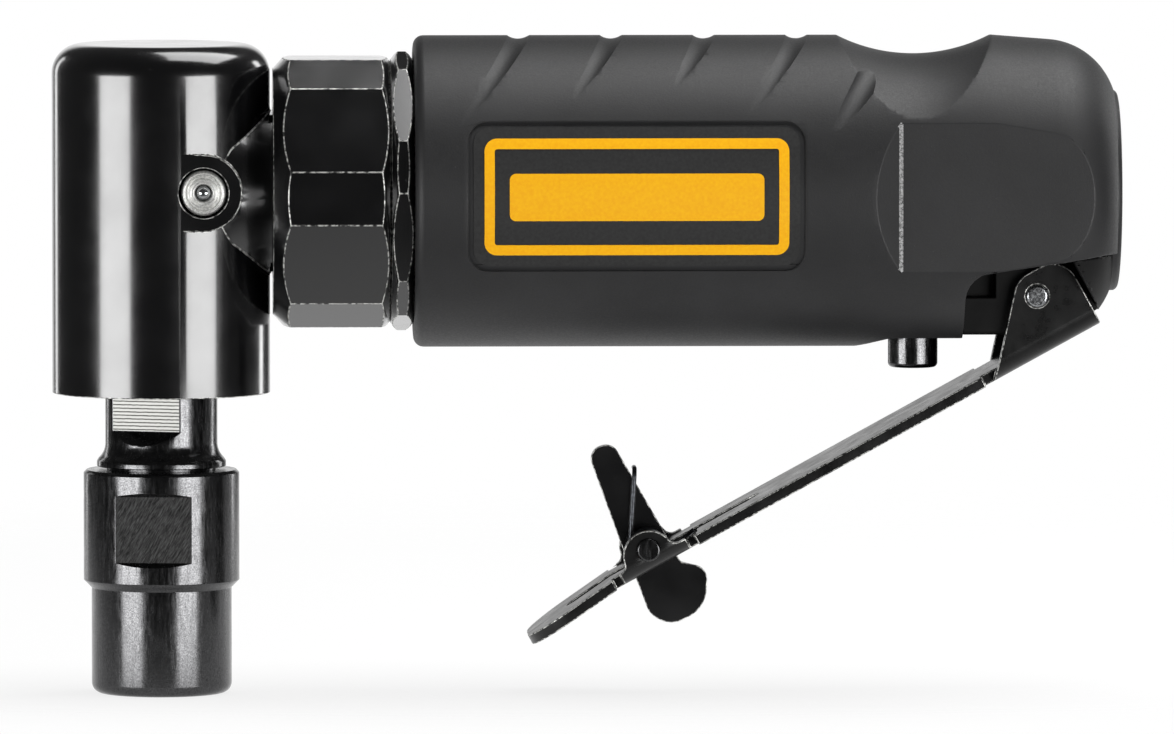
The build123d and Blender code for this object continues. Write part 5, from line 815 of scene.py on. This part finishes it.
# White for the camera, and for glossy and clear rays that look towards the backdrop. The room behind
# the camera is dark, as in a studio for black gloss, and lights softly from the back.
studio = bpy.data.worlds.new("White_studio")
bpy.context.scene.world = studio
studio.use_nodes = True
ray = add_node(studio, "ShaderNodeLightPath")
way = add_node(studio, "ShaderNodeTexCoord")
split = add_node(studio, "ShaderNodeSeparateXYZ", {"Vector": (way, "Generated")})
backdrop = add_node(studio, "ShaderNodeMapRange", {"Value": (split, "Y")},
                    {"From Min": 0.9, "From Max": 0.97, "To Min": 0.05, "To Max": 1.0})
room = add_node(studio, "ShaderNodeMapRange", {"Value": (split, "Y")},
                {"From Min": -0.1, "From Max": 0.5, "To Min": 0.05, "To Max": 0.8})
gloss = add_node(studio, "ShaderNodeMath", {0: (ray, "Is Glossy Ray"), 1: (ray, "Is Transmission Ray")},
                 operation="MAXIMUM")
seen = add_node(studio, "ShaderNodeMix", {0: (gloss, "Value"), 2: (room, "Result"), 3: (backdrop, "Result")})
level = add_node(studio, "ShaderNodeMath", {0: (ray, "Is Camera Ray"), 1: (seen, 0)}, operation="MAXIMUM")
sky = studio.node_tree.nodes["Background"]
sky.inputs["Color"].default_value = linear("#FFFFFF")
studio.node_tree.links.new(level.outputs["Value"], sky.inputs["Strength"])


def softbox(name, place, target, width, height, radiance):
    """Rectangular soft light aimed at a point; its power follows from how bright its front is."""
    bpy.ops.object.light_add(type="AREA", location=place)
    lamp = bpy.context.active_object
    lamp.name = name
    lamp.rotation_euler = (Vector(target) - Vector(place)).to_track_quat("-Z", "Y").to_euler()
    lamp.data.shape = "RECTANGLE"
    lamp.data.size = width
    lamp.data.size_y = height
    lamp.data.energy = radiance * pi * width * height
    lamp.visible_camera = False


softbox("Left_softbox", (-0.575, -0.482, -0.01), (0, 0, -0.01), 0.47, 0.26, 9.0)
softbox("Right_softbox", (0.507, -0.553, -0.01), (0, 0, -0.01), 0.455, 0.26, 9.0)
softbox("Top_softbox", (0.3, 0.05, 0.74), (0.06, 0, 0.06), 0.6, 0.6, 5.2)
softbox("Right_rim_softbox", (0.635, 0.556, 0.15), (0.06, 0, 0.06), 0.12, 0.5, 5.0)
softbox("Left_rim_softbox", (-0.43, 0.63, 0.15), (0, 0, 0.03), 0.1, 0.4, 2.5)

# Camera: long lens from the near side, a little above and to the left of square on.
VIEW_TURN = radians(-1.7)
VIEW_RISE = radians(3.9)
VIEW_DISTANCE = 2.0
PIXELS_PER_METRE = 7780
IMAGE_WIDTH = 1174
aim = Vector((54.7 * MM, 0, 41.8 * MM))
away = Vector((sin(VIEW_TURN) * cos(VIEW_RISE), -cos(VIEW_TURN) * cos(VIEW_RISE), sin(VIEW_RISE)))
bpy.ops.object.camera_add(location=aim + away * VIEW_DISTANCE)
camera = bpy.context.active_object
camera.rotation_euler = (-away).to_track_quat("-Z", "Y").to_euler()
camera.data.lens = PIXELS_PER_METRE * VIEW_DISTANCE / IMAGE_WIDTH * camera.data.sensor_width
bpy.context.scene.camera = camera
bpy.context.scene.view_settings.view_transform = "Standard"
